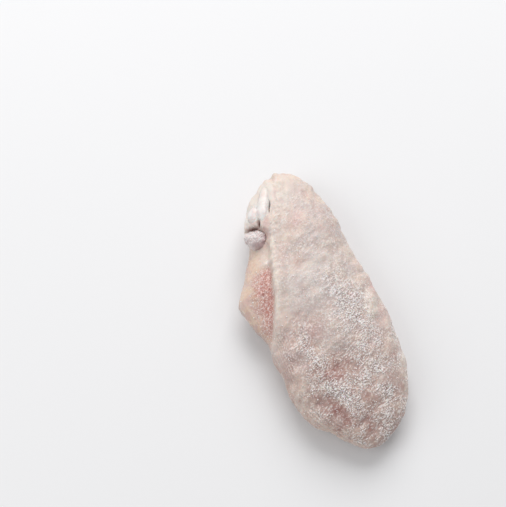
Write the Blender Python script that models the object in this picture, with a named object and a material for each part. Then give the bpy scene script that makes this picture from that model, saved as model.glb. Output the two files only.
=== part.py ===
"""Raw chicken wing: the flat middle joint with its skin on, frozen, lying on its underside.

The frame has its origin on the ground under the middle of the wing, with +Z up. The wing lies
along Y, its cut elbow joint at +Y and its wrist at -Y. The ulna's side, where the feather pits
are, is at +X, and the loose web of skin at the leading edge is at -X.

Three solids make it up: the skin and meat as one body, and the ulna and the radius, which run
through it and show their white gristle heads in the pit of the cut joint.
"""

import math

import bmesh
import bpy
import numpy as np
from mathutils import Matrix, Vector, noise

MM = 0.001

# Overall size
LENGTH = 95.4 * MM
ELBOW_Y = LENGTH / 2
END_ROUND = 12 * MM

# Profiles from the elbow, 0, to the wrist, 1: shares of the length and millimetres
ULNA_SIDE = (
    (0, 13), (0.03, 14.1), (0.08, 15.9), (0.14, 15.8), (0.2, 16.2), (0.3, 15.7), (0.4, 15.8),
    (0.6, 18.7), (0.8, 22.1), (0.9, 22.2), (0.96, 19.5), (1, 14),
)
LEADING_SIDE = (
    (0, 11), (0.03, 15), (0.07, 18.1), (0.12, 18.9), (0.17, 19.6), (0.22, 16.6),
    (0.3, 16.2), (0.4, 17.8), (0.46, 18.3), (0.5, 19.1), (0.56, 19.1), (0.6, 20.6), (0.68, 21),
    (0.75, 22.4), (0.83, 22.3), (0.87, 21.9), (0.91, 17.9), (0.95, 16.9), (1, 17.5),
)
LONG_LINE = ((0, 5.9), (0.3, 4.7), (0.6, 3.3), (0.8, 2.2), (1, 2.2))
MIDDLE_HEIGHT = ((0, 9.5), (0.5, 8), (1, 6.5))
RISE_ABOVE = ((0, 9.5), (0.2, 11.5), (0.5, 12), (0.8, 10.8), (1, 9))
DROP_BELOW = ((0, 9), (0.5, 9), (1, 7))
SKIN_MARGIN = (
    (0, 4), (0.05, 3.4), (0.1, 1.8), (0.19, -2.8), (0.25, -5.6), (0.3, -7.1), (0.38, -8.7),
    (0.46, -11.4), (0.56, -15.8), (0.64, -21.1),
)

# How the section and the ends round off: 1 is an ellipse, less is fuller
ELBOW_FULLNESS = 0.72
WRIST_FULLNESS = 0.95
END_RISE_FULLNESS = (0.6, 0.8)
ULNA_EDGE_FULLNESS = 0.95
LEADING_EDGE_FULLNESS = 0.9
ULNA_BACK_FULLNESS = 1.05
LEADING_BACK_FULLNESS = 0.9
UNDERSIDE_FULLNESS = 0.75

# Web of skin at the leading edge, a step below the margin of the back skin
WEB_REACH = 8 * MM
WEB_CORNER = 0.402
WEB_SPREAD = (0.21, 0.18)
WEB_ROUNDING = 0.11
WEB_HOLLOW = 0.65
WEB_TOP = 6.5 * MM
WEB_STEP_SHARE = 0.3
WEB_STEP_MOST = 2.6 * MM
MARGIN_SOFTNESS = 1.1 * MM

# Pit of the cut joint, seen from above
PIT_MIDDLE = (-4.5 * MM, 34.2 * MM)
PIT_RUN = math.radians(237.5)
PIT_HALF_LENGTH = 11.2 * MM
PIT_HALF_WIDTH = 4.3 * MM
PIT_DEPTH = 0.8 * MM
PIT_LIP = 0.2 * MM

# Round bowl at the pit's near end, which the radius's head lies in
BOWL_MIDDLE = (-8.7 * MM, 27.4 * MM)
BOWL_RADIUS = 4.15 * MM
BOWL_FLOOR = 12.4 * MM
BOWL_WALL = 4.4 * MM
BOWL_STEEPNESS = 4
BOWL_SOFTNESS = 0.35 * MM

# Relief of the skin
FEATHER_PITCH = 5.6 * MM
FEATHER_HEIGHT = 0.5 * MM
FEATHERS_LOWERED = 0.7
FEATHERS_LOWER_FROM = (0.52, 0.66)
LUMP_SIZE = 13 * MM
LUMP_HEIGHT = 1.0 * MM
PEBBLE_SIZE = 4.5 * MM
PEBBLE_HEIGHT = 0.45 * MM

# Bones: points in millimetres along each shaft's middle, from its head at the elbow to its foot
BONE_GAP = 0.3 * MM
ULNA_ROUTE = ((-3.5, 33, 9), (1, 15, 8.3), (3.5, 0, 8), (4.5, -33, 7.5))
ULNA_THICKNESS = 4.6 * MM
RADIUS_ROUTE = ((-8.8, 27.2, 10.5), (-8, 20, 9.3), (-6.5, 2, 8.2), (-4.5, -31, 7.8))
RADIUS_THICKNESS = 3.2 * MM
SHAFT_RINGS = 14
SHAFT_SIDES = 12
KNOB_RINGS = 9
KNOB_SIDES = 14

# Gristle knobs of each head: the middle and the half sizes along, across and up, in millimetres,
# then the turn from +X and the upward tilt, in degrees
ULNA_KNOBS = (
    ((-3.1, 34, 9.4), (5, 3.9, 4.2), 240, 0),
    ((-1.85, 37.25, 14.25), (6.8, 2.1, 2.55), 243.5, 11),
    ((-3.3, 34.5, 14.75), (2.9, 2.15, 2.45), 243.5, 10),
    ((-0.4, 39.9, 13.75), (3.9, 1.95, 2.4), 242, 12),
    ((-6, 35.1, 12.75), (3.4, 2.2, 2.5), 245, 10),
)
RADIUS_KNOBS = (
    ((-8.4, 26.9, 13.1), (3.4, 3.1, 3), -22, 0),
    ((-9.8, 28.2, 12.9), (2.5, 2.15, 2.5), -22, 0),
    ((-7.4, 27.7, 13.3), (2.5, 2.2, 2.3), -22, 0),
)

# Mesh of the skin: more sides lie close to the margin of the back skin
RINGS = 80
SIDES = 54
MARGIN_SIDE = 0.36
MARGIN_CROWDING = 0.5


def clear_scene():
    """Removes what the startup scene holds."""
    for obj in list(bpy.data.objects):
        bpy.data.objects.remove(obj, do_unlink=True)


def finish(name, colour, roughness):
    """A Principled material of one colour."""
    material = bpy.data.materials.new(name)
    material.use_nodes = True
    shader = material.node_tree.nodes["Principled BSDF"]
    shader.inputs["Base Color"].default_value = (*colour, 1.0)
    shader.inputs["Roughness"].default_value = roughness
    shader.inputs["Metallic"].default_value = 0.0
    return material


def profile(knots, share):
    """Metres at each share of the length, on a smooth curve through the knots."""
    places, sizes = np.array(knots, float).T
    slopes = np.gradient(sizes, places)
    share = np.clip(share, places[0], places[-1])
    left = np.clip(np.searchsorted(places, share, side="right") - 1, 0, len(places) - 2)
    span = places[left + 1] - places[left]
    u = (share - places[left]) / span
    start = (2 * u**3 - 3 * u**2 + 1) * sizes[left] + (u**3 - 2 * u**2 + u) * span * slopes[left]
    end = (3 * u**2 - 2 * u**3) * sizes[left + 1] + (u**3 - u**2) * span * slopes[left + 1]
    return (start + end) * MM


def ease(low, high, value):
    """0 below low, 1 above high and a smooth rise between them."""
    u = np.clip((value - low) / (high - low), 0, 1)
    return u * u * (3 - 2 * u)


def bell(value, middle, width):
    """1 at the middle, falling off smoothly on both sides."""
    return np.exp(-(((value - middle) / width) ** 2))


def wander(points, size, seed):
    """Smooth noise from about -1 to 1 at each point, with bumps of that size."""
    places = points.reshape(-1, 3) / size + seed
    return np.array([noise.noise(Vector(place)) for place in places]).reshape(points.shape[:-1])


def even_turns(count):
    """Turns from the elbow, 0, to the wrist, pi, that space the rings evenly over the surface."""
    fine = np.linspace(0, math.pi, 2000)
    step = np.hypot(LENGTH / 2 * np.sin(fine), END_ROUND * np.cos(fine))
    run = np.concatenate([[0], np.cumsum((step[1:] + step[:-1]) / 2)])
    return np.interp(np.linspace(0, run[-1], count + 2)[1:-1], run, fine)


def web_width(share):
    """How wide the web is at each share of the length: 1 at its corner, 0 where it ends."""
    from_corner = (share - WEB_CORNER) / np.where(share < WEB_CORNER, *WEB_SPREAD)
    return np.clip(1 + WEB_ROUNDING - np.hypot(from_corner, WEB_ROUNDING), 0, 1) ** 1.1


def reaches(turn, share):
    """How far the body reaches to the ulna's side and to the leading side, and its ends' rise."""
    wrist = ease(0.5, 1, share)
    ends = np.sin(turn) ** (ELBOW_FULLNESS + (WRIST_FULLNESS - ELBOW_FULLNESS) * wrist)
    first, last = END_RISE_FULLNESS
    end_rise = np.sin(turn) ** (first + (last - first) * wrist)
    leading = profile(LEADING_SIDE, share) * ends + WEB_REACH * web_width(share)
    return profile(ULNA_SIDE, share) * ends, leading, end_rise


def side_angles(turn, share, count):
    """Angles round each ring, crowded about the back skin's margin, which a line of points follows."""
    leading = reaches(turn, share)[1]
    out = (profile(LONG_LINE, share) - profile(SKIN_MARGIN, share)) / np.maximum(leading, MM)
    margin = np.arccos(-np.clip(out, 0.1, 0.95) ** (1 / LEADING_EDGE_FULLNESS))
    step = np.arange(count)[None, :] / count
    step = step - MARGIN_CROWDING * np.sin(2 * math.pi * (step - MARGIN_SIDE)) / (2 * math.pi)
    step = step - MARGIN_CROWDING * math.sin(2 * math.pi * MARGIN_SIDE) / (2 * math.pi)
    step = step % 1
    before = step / MARGIN_SIDE * margin
    after = margin + (step - MARGIN_SIDE) / (1 - MARGIN_SIDE) * (2 * math.pi - margin)
    return np.where(step < MARGIN_SIDE, before, after)


def plain_body(turn, share, angle):
    """Points of the body without its web's step, its pit and its relief."""
    across, upward = np.cos(angle), np.sin(angle)
    ulna_reach, leading_reach, end_rise = reaches(turn, share)
    x = np.where(
        across > 0,
        ulna_reach * np.abs(across) ** ULNA_EDGE_FULLNESS,
        -leading_reach * np.abs(across) ** LEADING_EDGE_FULLNESS,
    )
    back_fullness = np.where(across > 0, ULNA_BACK_FULLNESS, LEADING_BACK_FULLNESS)
    hollow = WEB_HOLLOW * web_width(share) * ease(0.5, 0.95, -across)
    z = np.where(
        upward > 0,
        profile(RISE_ABOVE, share) * np.abs(upward) ** back_fullness,
        -profile(DROP_BELOW, share) * np.abs(upward) ** UNDERSIDE_FULLNESS * (1 - hollow),
    )
    y = ELBOW_Y - LENGTH * share + 0 * angle
    height = profile(MIDDLE_HEIGHT, share) + end_rise * z
    return np.stack([profile(LONG_LINE, share) + x, y, height], axis=-1)


def lower_web(points, share, angle):
    """The body with the web lowered below the margin of the back skin."""
    beyond = profile(SKIN_MARGIN, share) - points[..., 0]
    reach = ease(0.2, 0.27, share) * (1 - ease(0.55, 0.66, share)) * ease(0, 0.25, np.sin(angle))
    lowered = reach * ease(-MARGIN_SOFTNESS, MARGIN_SOFTNESS, beyond)
    drop = np.minimum(np.clip(points[..., 2] - WEB_TOP, 0, None) * WEB_STEP_SHARE, WEB_STEP_MOST)
    moved = points.copy()
    moved[..., 2] -= lowered * drop
    return moved


def outward(points):
    """Unit normals of a grid of rings."""
    along = np.gradient(points, axis=0)
    around = np.roll(points, -1, axis=1) - np.roll(points, 1, axis=1)
    normals = np.cross(around, along)
    return normals / np.maximum(np.linalg.norm(normals, axis=-1, keepdims=True), 1e-12)


def pit_place(points):
    """How far each point is from the middle of the pit, where 1 is its edge."""
    x, y = points[..., 0] - PIT_MIDDLE[0], points[..., 1] - PIT_MIDDLE[1]
    along = (x * math.cos(PIT_RUN) + y * math.sin(PIT_RUN)) / PIT_HALF_LENGTH
    across = (y * math.cos(PIT_RUN) - x * math.sin(PIT_RUN)) / PIT_HALF_WIDTH
    return np.hypot(along, across)


def relief(points, share, angle):
    """How far the skin's bumps and feather pits raise the body and the joint's pit sinks it."""
    back = ease(-0.35, 0.15, np.sin(angle))
    lumps = LUMP_HEIGHT * wander(points, LUMP_SIZE, 3.7)
    pebbles = PEBBLE_HEIGHT * wander(points, PEBBLE_SIZE, 11.3) * (0.4 + 0.6 * back)

    slant = points[..., 1] - 0.55 * points[..., 0] + 1.5 * MM * wander(points, LUMP_SIZE, 7.1)
    rim = bell(np.cos(angle), 1, 0.25) * ease(0.03, 0.1, share) * (1 - ease(0.8, 0.93, share))
    rim = rim * (1 - FEATHERS_LOWERED * ease(*FEATHERS_LOWER_FROM, share))
    feathers = FEATHER_HEIGHT * rim * (np.abs(np.sin(math.pi * slant / FEATHER_PITCH)) - 0.64)

    place = pit_place(points)
    pit = PIT_LIP * bell(place, 1.15, 0.14) - PIT_DEPTH * (1 - ease(0.7, 1.02, place))
    return (lumps + pebbles + feathers) * ease(0.8, 1.15, place) + pit * ease(-0.1, 0.3, np.sin(angle))


def sink_bowl(points):
    """The body with the bowl of the radius's head cut in it, rounded over at its rim."""
    x, y = points[..., 0] - BOWL_MIDDLE[0], points[..., 1] - BOWL_MIDDLE[1]
    far = np.minimum(np.hypot(x, y) / BOWL_RADIUS, 3)
    over = points[..., 2] - BOWL_FLOOR - BOWL_WALL * far**BOWL_STEEPNESS
    moved = points.copy()
    moved[..., 2] -= BOWL_SOFTNESS * np.logaddexp(0, over / BOWL_SOFTNESS)
    return moved


def skin_points(rings, sides):
    """Points of the finished skin, ring by ring."""
    turn = even_turns(rings)[:, None]
    share = (1 - np.cos(turn)) / 2
    angle = side_angles(turn, share, sides)
    body = lower_web(plain_body(turn, share, angle), share, angle)
    raised = sink_bowl(body + outward(body) * relief(body, share, angle)[..., None])
    raised[..., 2] = np.maximum(raised[..., 2], 0)
    return raised


def ring_mesh(name, points):
    """A closed mesh over rings of points, with a point at each end."""
    mesh = bpy.data.meshes.new(name)
    shape = bmesh.new()
    rings = [[shape.verts.new(place) for place in ring] for ring in points]
    first, last = (shape.verts.new(ring.mean(axis=0)) for ring in (points[0], points[-1]))
    sides = len(rings[0])
    for side in range(sides):
        after = (side + 1) % sides
        for near, far in zip(rings, rings[1:]):
            shape.faces.new((near[side], far[side], far[after], near[after]))
        shape.faces.new((first, rings[0][side], rings[0][after]))
        shape.faces.new((last, rings[-1][after], rings[-1][side]))
    bmesh.ops.recalc_face_normals(shape, faces=shape.faces)
    shape.to_mesh(mesh)
    shape.free()
    return mesh


def place_mesh(name, mesh):
    """An object of the scene that holds the mesh."""
    obj = bpy.data.objects.new(name, mesh)
    bpy.context.scene.collection.objects.link(obj)
    return obj


def shaft(name, route, thickness, grown):
    """A bone's shaft: a round bar along a smooth route, a little thinner at its waist."""
    stops = np.array(route) * MM
    run = np.concatenate([[0], np.cumsum(np.linalg.norm(np.diff(stops, axis=0), axis=1))])
    share = np.linspace(0, 1, SHAFT_RINGS)
    knots = [tuple(zip(run / run[-1], stops[:, axis] / MM)) for axis in range(3)]
    middle = np.stack([profile(knots[axis], share) for axis in range(3)], axis=-1)
    middle[-1, 1] -= grown
    across = np.array((1.0, 0, 0))
    ahead = np.gradient(middle, axis=0)
    up = np.cross(ahead, across)
    up /= np.linalg.norm(up, axis=1, keepdims=True)
    turn = np.linspace(0, 2 * math.pi, SHAFT_SIDES, endpoint=False)[None, :, None]
    radius = thickness / 2 * (1.12 - 0.24 * np.sin(math.pi * share)) + grown
    ring = across * np.cos(turn) + up[:, None, :] * np.sin(turn)
    return place_mesh(name, ring_mesh(name, middle[:, None, :] + radius[:, None, None] * ring))


def knob(name, middle, half_sizes, turn, tilt, grown):
    """A gristle knob: an egg-shaped ball that lies along its turn and rises with its tilt."""
    mesh = bpy.data.meshes.new(name)
    shape = bmesh.new()
    bmesh.ops.create_uvsphere(shape, u_segments=KNOB_SIDES, v_segments=KNOB_RINGS, radius=1)
    sizes = [size * MM + grown for size in half_sizes]
    turned = Matrix.Rotation(math.radians(turn), 4, "Z") @ Matrix.Rotation(-math.radians(tilt), 4, "Y")
    shape.transform(Matrix.Translation(Vector(middle) * MM) @ turned @ Matrix.Diagonal((*sizes, 1)))
    shape.to_mesh(mesh)
    shape.free()
    return place_mesh(name, mesh)


def fuse(name, pieces):
    """One closed object from pieces that overlap."""
    first, *others = pieces
    group = bpy.data.collections.new(name)
    bpy.context.scene.collection.children.link(group)
    for piece in others:
        group.objects.link(piece)
    union = first.modifiers.new("join", "BOOLEAN")
    union.operation = "UNION"
    union.operand_type = "COLLECTION"
    union.collection = group
    graph = bpy.context.evaluated_depsgraph_get()
    mesh = bpy.data.meshes.new_from_object(first.evaluated_get(graph))
    for piece in pieces:
        bpy.data.objects.remove(piece, do_unlink=True)
    bpy.data.collections.remove(group)
    return place_mesh(name, mesh)


def bone(name, route, thickness, knobs, grown=0.0):
    """A bone with the knobs of its head, larger all round by what it is grown."""
    bar = shaft(name + "_shaft", route, thickness, grown)
    heads = [knob(f"{name}_knob_{number}", *size, grown) for number, size in enumerate(knobs)]
    return fuse(name, [bar, *heads])


def clear_room(body, room):
    """Cuts a bone's room, which isn't drawn, from the body."""
    room.hide_render = True
    room.display_type = "WIRE"
    cut = body.modifiers.new(room.name, "BOOLEAN")
    cut.operation = "DIFFERENCE"
    cut.object = room


def main():
    """Builds the wing."""
    clear_scene()
    skin = finish("pale frozen skin", (0.62, 0.5, 0.45), 0.5)
    gristle = finish("white gristle", (0.8, 0.74, 0.7), 0.3)

    body = place_mesh("skin_and_meat", ring_mesh("skin_and_meat", skin_points(RINGS, SIDES)))
    body.data.materials.append(skin)
    body.data.shade_smooth()
    bones = {
        "ulna": (ULNA_ROUTE, ULNA_THICKNESS, ULNA_KNOBS),
        "radius": (RADIUS_ROUTE, RADIUS_THICKNESS, RADIUS_KNOBS),
    }
    for name, sizes in bones.items():
        piece = bone(name, *sizes)
        piece.data.materials.append(gristle)
        piece.data.shade_smooth()
        clear_room(body, bone(name + "_room", *sizes, grown=BONE_GAP))


main()
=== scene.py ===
"""Looks of a raw chicken wing: the flat middle joint with its skin on, frozen, on a pale floor.

The skin, the gristle heads in the cut joint and the frost that lies on them are modelled here
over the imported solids, in metres and in their frame: the wing lies along Y, its cut elbow joint
at +Y and its wrist at -Y, its feather pits at +X and its loose web of skin at -X.
"""

import logging
import math
from dataclasses import dataclass, field, replace
from enum import Enum

import bmesh
import bpy
import numpy as np
from mathutils import Matrix, Vector, noise


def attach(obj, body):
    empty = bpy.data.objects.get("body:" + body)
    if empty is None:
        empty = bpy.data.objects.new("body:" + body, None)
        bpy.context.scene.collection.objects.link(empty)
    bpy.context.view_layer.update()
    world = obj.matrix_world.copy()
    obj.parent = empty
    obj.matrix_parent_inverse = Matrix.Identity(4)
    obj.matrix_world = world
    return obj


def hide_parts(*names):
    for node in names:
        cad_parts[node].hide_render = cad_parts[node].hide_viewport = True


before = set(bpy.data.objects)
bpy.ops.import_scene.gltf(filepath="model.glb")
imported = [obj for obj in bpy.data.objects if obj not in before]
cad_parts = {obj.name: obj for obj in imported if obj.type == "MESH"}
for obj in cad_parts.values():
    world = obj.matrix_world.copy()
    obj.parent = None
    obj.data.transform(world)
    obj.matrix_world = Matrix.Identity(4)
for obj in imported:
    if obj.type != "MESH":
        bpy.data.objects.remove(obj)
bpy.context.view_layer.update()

log = logging.getLogger("wing")

MM = 0.001
BODY = "root"

Pair = tuple[float, float]
Place = tuple[float, float, float]
Colour = tuple[float, float, float]
Socket = bpy.types.NodeSocket
Feed = Socket | float | tuple[float, ...]
Inputs = dict[str | int, Feed]
Array = np.ndarray


class Slot(Enum):
    """The record's material slots."""

    SKIN = "skin_and_meat"
    GRISTLE = "gristle"


class Mark(Enum):
    """What is marked on a piece's points, from 0 to 1, for its finish and its frost."""

    WEB = "web"
    MEAT = "meat"
    # On the skin, the pale cream of the fat, and painted light on the margin's lip, the ulna's edge and
    # slopes that turn from the light; on the gristle, the skin over the knobs.
    FAT = "fat"
    FLUSH = "flush"
    # Painted shade: a darker, pinker colour in the bumps' valleys, along the broken crease and in the low
    # parts of the bands.
    VALLEY_SHADE = "valley_shade"
    TISSUE = "tissue"
    # Painted shade: the gaps round the gristle knobs are painted dark.
    GAP_SHADE = "gap_shade"
    SHEATH = "sheath"
    FROST = "frost"
    HAZE = "haze"
    # Towards the wrist. The skin's wrist tint there is partly its pinker tone and partly painted shade on
    # the end that turns from the light.
    WRIST = "wrist"


def ease(low: float, high: float, value: Array) -> Array:
    """A smooth rise from 0, where the value is low, to 1, where it is high."""
    u = np.clip((value - low) / (high - low), 0, 1)
    return u * u * (3 - 2 * u)


def bell(value: Array, middle: float, width: float) -> Array:
    """1 at the middle, falling off smoothly on both sides over the width."""
    return np.exp(-(((value - middle) / width) ** 2))


def between(ends: Pair, share: Array) -> Array:
    """From the first end, where the share is 0, to the second, where it is 1."""
    return ends[0] + (ends[1] - ends[0]) * share


def partly(parts: Pair, value: Array) -> Array:
    """A steady part, and a second part that follows the value."""
    return parts[0] + parts[1] * value


def unit(vectors: Array, least: float = 1e-12) -> Array:
    """The vectors, along the last axis, at length 1."""
    return vectors / np.maximum(np.linalg.norm(vectors, axis=-1, keepdims=True), least)


@dataclass(frozen=True)
class Bumps:
    """Smooth noise: how wide its bumps are, which noise is read, and how high it makes them.

    Where it has a length, its bumps are drawn out that far in a direction turned from +X.
    """

    width: float
    seed: float
    height: float = 1.0
    length: float | None = None
    degrees: float = 0.0

    def read(self, points: Array) -> Array:
        """The noise itself.

        Args:
            points: Points in space, along the last axis.

        Returns:
            A value from about -1 to 1 for each point.
        """
        scaled = points / self.width
        if self.length is not None:
            turn = math.radians(self.degrees)
            run = points[..., 0] * math.cos(turn) + points[..., 1] * math.sin(turn)
            side = points[..., 1] * math.cos(turn) - points[..., 0] * math.sin(turn)
            scaled = np.stack([run / self.length, side / self.width, scaled[..., 2]], axis=-1)
        places = (scaled.reshape(-1, 3) + self.seed).tolist()
        return np.array([noise.noise(place) for place in places]).reshape(points.shape[:-1])

    def heights(self, points: Array) -> Array:
        """The noise at its height."""
        return self.height * self.read(points)


@dataclass(frozen=True)
class Profile:
    """A size that changes along the wing, on a smooth curve through its knots.

    Each knot is a share of the length, 0 at the elbow and 1 at the wrist, and millimetres.
    """

    knots: tuple[Pair, ...]

    def at(self, share: Array) -> Array:
        """The size in metres.

        Args:
            share: Shares of the length.

        Returns:
            The size at each share.
        """
        places, sizes = np.array(self.knots, float).T
        slopes = np.gradient(sizes, places)
        share = np.clip(share, places[0], places[-1])
        left = np.clip(np.searchsorted(places, share, side="right") - 1, 0, len(places) - 2)
        span = places[left + 1] - places[left]
        u = (share - places[left]) / span
        start = (2 * u**3 - 3 * u**2 + 1) * sizes[left] + (u**3 - 2 * u**2 + u) * span * slopes[left]
        end = (3 * u**2 - 2 * u**3) * sizes[left + 1] + (u**3 - u**2) * span * slopes[left + 1]
        return (start + end) * MM


@dataclass(frozen=True)
class Stretch:
    """A stretch of the wing, with the shares of its length over which it begins and ends."""

    begins: Pair
    ends: Pair

    def keep(self, value: Array, share: Array) -> Array:
        """The value on the stretch, and 0 off it."""
        return value * ease(*self.begins, share) * (1 - ease(*self.ends, share))


@dataclass(frozen=True)
class Patch:
    """A soft oval on the wing, seen from above, in millimetres and turned from +X by degrees."""

    x: float
    y: float
    half_length: float
    half_width: float
    degrees: float = 0.0
    strength: float = 1.0

    def spread(self, points: Array) -> Array:
        """How strong the patch is: its strength at the middle, falling off smoothly round it.

        Args:
            points: Points in space, along the last axis.

        Returns:
            A value for each point.
        """
        x = points[..., 0] / MM - self.x
        y = points[..., 1] / MM - self.y
        turn = math.radians(self.degrees)
        along = (x * math.cos(turn) + y * math.sin(turn)) / self.half_length
        across = (y * math.cos(turn) - x * math.sin(turn)) / self.half_width
        return self.strength * np.exp(-(along**2) - across**2)


def patches(*rows: tuple[float, ...]) -> tuple[Patch, ...]:
    """Patches from rows of x, y, half length, half width, degrees and strength."""
    return tuple(Patch(*row) for row in rows)


def overlay(ovals: tuple[Patch, ...], points: Array) -> Array:
    """The sum of several patches at each point."""
    return sum((oval.spread(points) for oval in ovals), np.zeros(points.shape[:-1]))


@dataclass(frozen=True)
class WingForm:
    """The plain body of the wing, as a surface over turns along it and angles round it.

    A pair of fullnesses holds for the elbow and the wrist, and the others for one side.
    """

    length: float = 95.4 * MM
    end_round: float = 12 * MM
    fine_turns: int = 2000

    ulna_side: Profile = Profile((
        (0, 13), (0.03, 14.1), (0.08, 15.9), (0.14, 15.8), (0.2, 16.2), (0.3, 15.7), (0.4, 15.8),
        (0.6, 18.7), (0.8, 22.1), (0.9, 22.2), (0.96, 19.5), (1, 14),
    ))
    leading_side: Profile = Profile((
        (0, 11), (0.03, 15), (0.07, 18.1), (0.12, 18.9), (0.17, 19.6), (0.22, 16.6),
        (0.3, 16.2), (0.4, 17.8), (0.46, 18.3), (0.5, 19.1), (0.56, 19.1), (0.6, 20.6), (0.68, 21),
        (0.75, 22.4), (0.83, 22.3), (0.87, 21.9), (0.91, 17.9), (0.95, 16.9), (1, 17.5),
    ))
    long_line: Profile = Profile(((0, 5.9), (0.3, 4.7), (0.6, 3.3), (0.8, 2.2), (1, 2.2)))
    middle_height: Profile = Profile(((0, 9.5), (0.5, 8), (1, 6.5)))
    rise_above: Profile = Profile(((0, 9.5), (0.2, 11.5), (0.5, 12), (0.8, 10.8), (1, 9)))
    drop_below: Profile = Profile(((0, 9), (0.5, 9), (1, 7)))
    skin_margin: Profile = Profile((
        (0, 4), (0.05, 3.4), (0.1, 1.8), (0.19, -2.8), (0.25, -5.6), (0.3, -7.1), (0.38, -8.7),
        (0.46, -11.4), (0.56, -15.8), (0.64, -21.1),
    ))

    end_fullness: Pair = (0.72, 0.95)
    end_rise_fullness: Pair = (0.6, 0.8)
    wrist_half: Pair = (0.5, 1)
    ulna_edge_fullness: float = 0.95
    leading_edge_fullness: float = 0.9
    ulna_back_fullness: float = 1.05
    leading_back_fullness: float = 0.9
    underside_fullness: float = 0.75

    web_reach: float = 8 * MM
    web_corner: float = 0.402
    web_spread: Pair = (0.21, 0.18)
    web_rounding: float = 0.11
    web_taper: float = 1.1
    web_hollow: float = 0.65
    web_hollow_side: Pair = (0.5, 0.95)
    web_top: float = 6.5 * MM
    web_step: Stretch = Stretch((0.2, 0.27), (0.55, 0.66))
    web_step_side: Pair = (0, 0.25)
    web_step_share: float = 0.3
    web_step_most: float = 2.6 * MM

    margin_softness: float = 0.7 * MM
    margin_waves: tuple[Bumps, ...] = (Bumps(5 * MM, 5.2, 0.5 * MM), Bumps(1.7 * MM, 8.4, 0.22 * MM))
    margin_side: float = 0.36
    margin_crowding: float = 0.5
    margin_reach: Pair = (0.1, 0.95)

    def turns(self, count: int) -> Array:
        """Turns from the elbow, 0, to the wrist, pi, that space the rings evenly over the surface.

        Args:
            count: How many rings there are.

        Returns:
            The turn of each ring.
        """
        fine = np.linspace(0, math.pi, self.fine_turns)
        step = np.hypot(self.length / 2 * np.sin(fine), self.end_round * np.cos(fine))
        run = np.concatenate([[0], np.cumsum((step[1:] + step[:-1]) / 2)])
        return np.interp(np.linspace(0, run[-1], count + 2)[1:-1], run, fine)

    def web_width(self, share: Array) -> Array:
        """How wide the web is: 1 at its corner and 0 where it ends.

        Args:
            share: Shares of the length.

        Returns:
            The width at each share.
        """
        from_corner = (share - self.web_corner) / np.where(share < self.web_corner, *self.web_spread)
        width = 1 + self.web_rounding - np.hypot(from_corner, self.web_rounding)
        return np.clip(width, 0, 1) ** self.web_taper

    def margin(self, share: Array) -> Array:
        """The x of the back skin's wavy margin, at shares of the length."""
        places = np.stack([share * self.length, 0 * share, 0 * share], axis=-1)
        return sum((wave.heights(places) for wave in self.margin_waves), self.skin_margin.at(share))

    def reaches(self, turn: Array, share: Array) -> tuple[Array, Array, Array]:
        """How far the body reaches to each side, and how far its ends round its height.

        Args:
            turn: Turns from the elbow, 0, to the wrist, pi.
            share: The share of the length at each turn.

        Returns:
            The reach to the ulna's side, the reach to the leading side, and the rise of the ends.
        """
        wrist = ease(*self.wrist_half, share)
        ends = np.sin(turn) ** between(self.end_fullness, wrist)
        end_rise = np.sin(turn) ** between(self.end_rise_fullness, wrist)
        leading = self.leading_side.at(share) * ends + self.web_reach * self.web_width(share)
        return self.ulna_side.at(share) * ends, leading, end_rise

    def side_angles(self, turn: Array, share: Array, count: int) -> Array:
        """Angles round each ring, crowded about the back skin's margin, which a line of points follows.

        Args:
            turn: The turn of each ring.
            share: The share of the length at each ring.
            count: How many points a ring has.

        Returns:
            The angle of each point.
        """
        leading = self.reaches(turn, share)[1]
        out = (self.long_line.at(share) - self.skin_margin.at(share)) / np.maximum(leading, MM)
        margin = np.arccos(-np.clip(out, *self.margin_reach) ** (1 / self.leading_edge_fullness))
        side, crowding = self.margin_side, self.margin_crowding
        step = np.arange(count)[None, :] / count
        step = step - crowding * np.sin(2 * math.pi * (step - side)) / (2 * math.pi)
        step = (step - crowding * math.sin(2 * math.pi * side) / (2 * math.pi)) % 1
        before = step / side * margin
        after = margin + (step - side) / (1 - side) * (2 * math.pi - margin)
        return np.where(step < side, before, after)

    def plain_points(self, turn: Array, share: Array, angle: Array) -> Array:
        """Points of the body before the web is lowered.

        Args:
            turn: The turn of each ring.
            share: The share of the length at each ring.
            angle: The angle of each point round its ring.

        Returns:
            The points, ring by ring.
        """
        across, upward = np.cos(angle), np.sin(angle)
        ulna_reach, leading_reach, end_rise = self.reaches(turn, share)
        x = np.where(
            across > 0,
            ulna_reach * np.abs(across) ** self.ulna_edge_fullness,
            -leading_reach * np.abs(across) ** self.leading_edge_fullness,
        )
        back_fullness = np.where(across > 0, self.ulna_back_fullness, self.leading_back_fullness)
        hollow = self.web_hollow * self.web_width(share) * ease(*self.web_hollow_side, -across)
        z = np.where(
            upward > 0,
            self.rise_above.at(share) * np.abs(upward) ** back_fullness,
            -self.drop_below.at(share) * np.abs(upward) ** self.underside_fullness * (1 - hollow),
        )
        x = self.long_line.at(share) + x
        y = self.length * (0.5 - share) + 0 * angle
        return np.stack([x, y, self.middle_height.at(share) + end_rise * z], axis=-1)

    def lower_web(self, points: Array, share: Array, angle: Array) -> Array:
        """The body with its web a step below the margin of the back skin.

        Args:
            points: Points of the body.
            share: The share of the length at each ring.
            angle: The angle of each point round its ring.

        Returns:
            The moved points.
        """
        beyond = self.margin(share) - points[..., 0]
        reach = self.web_step.keep(1.0, share) * ease(*self.web_step_side, np.sin(angle))
        lowered = reach * ease(-self.margin_softness, self.margin_softness, beyond)
        drop = np.clip(points[..., 2] - self.web_top, 0, None) * self.web_step_share
        moved = points.copy()
        moved[..., 2] -= lowered * np.minimum(drop, self.web_step_most)
        return moved


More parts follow.
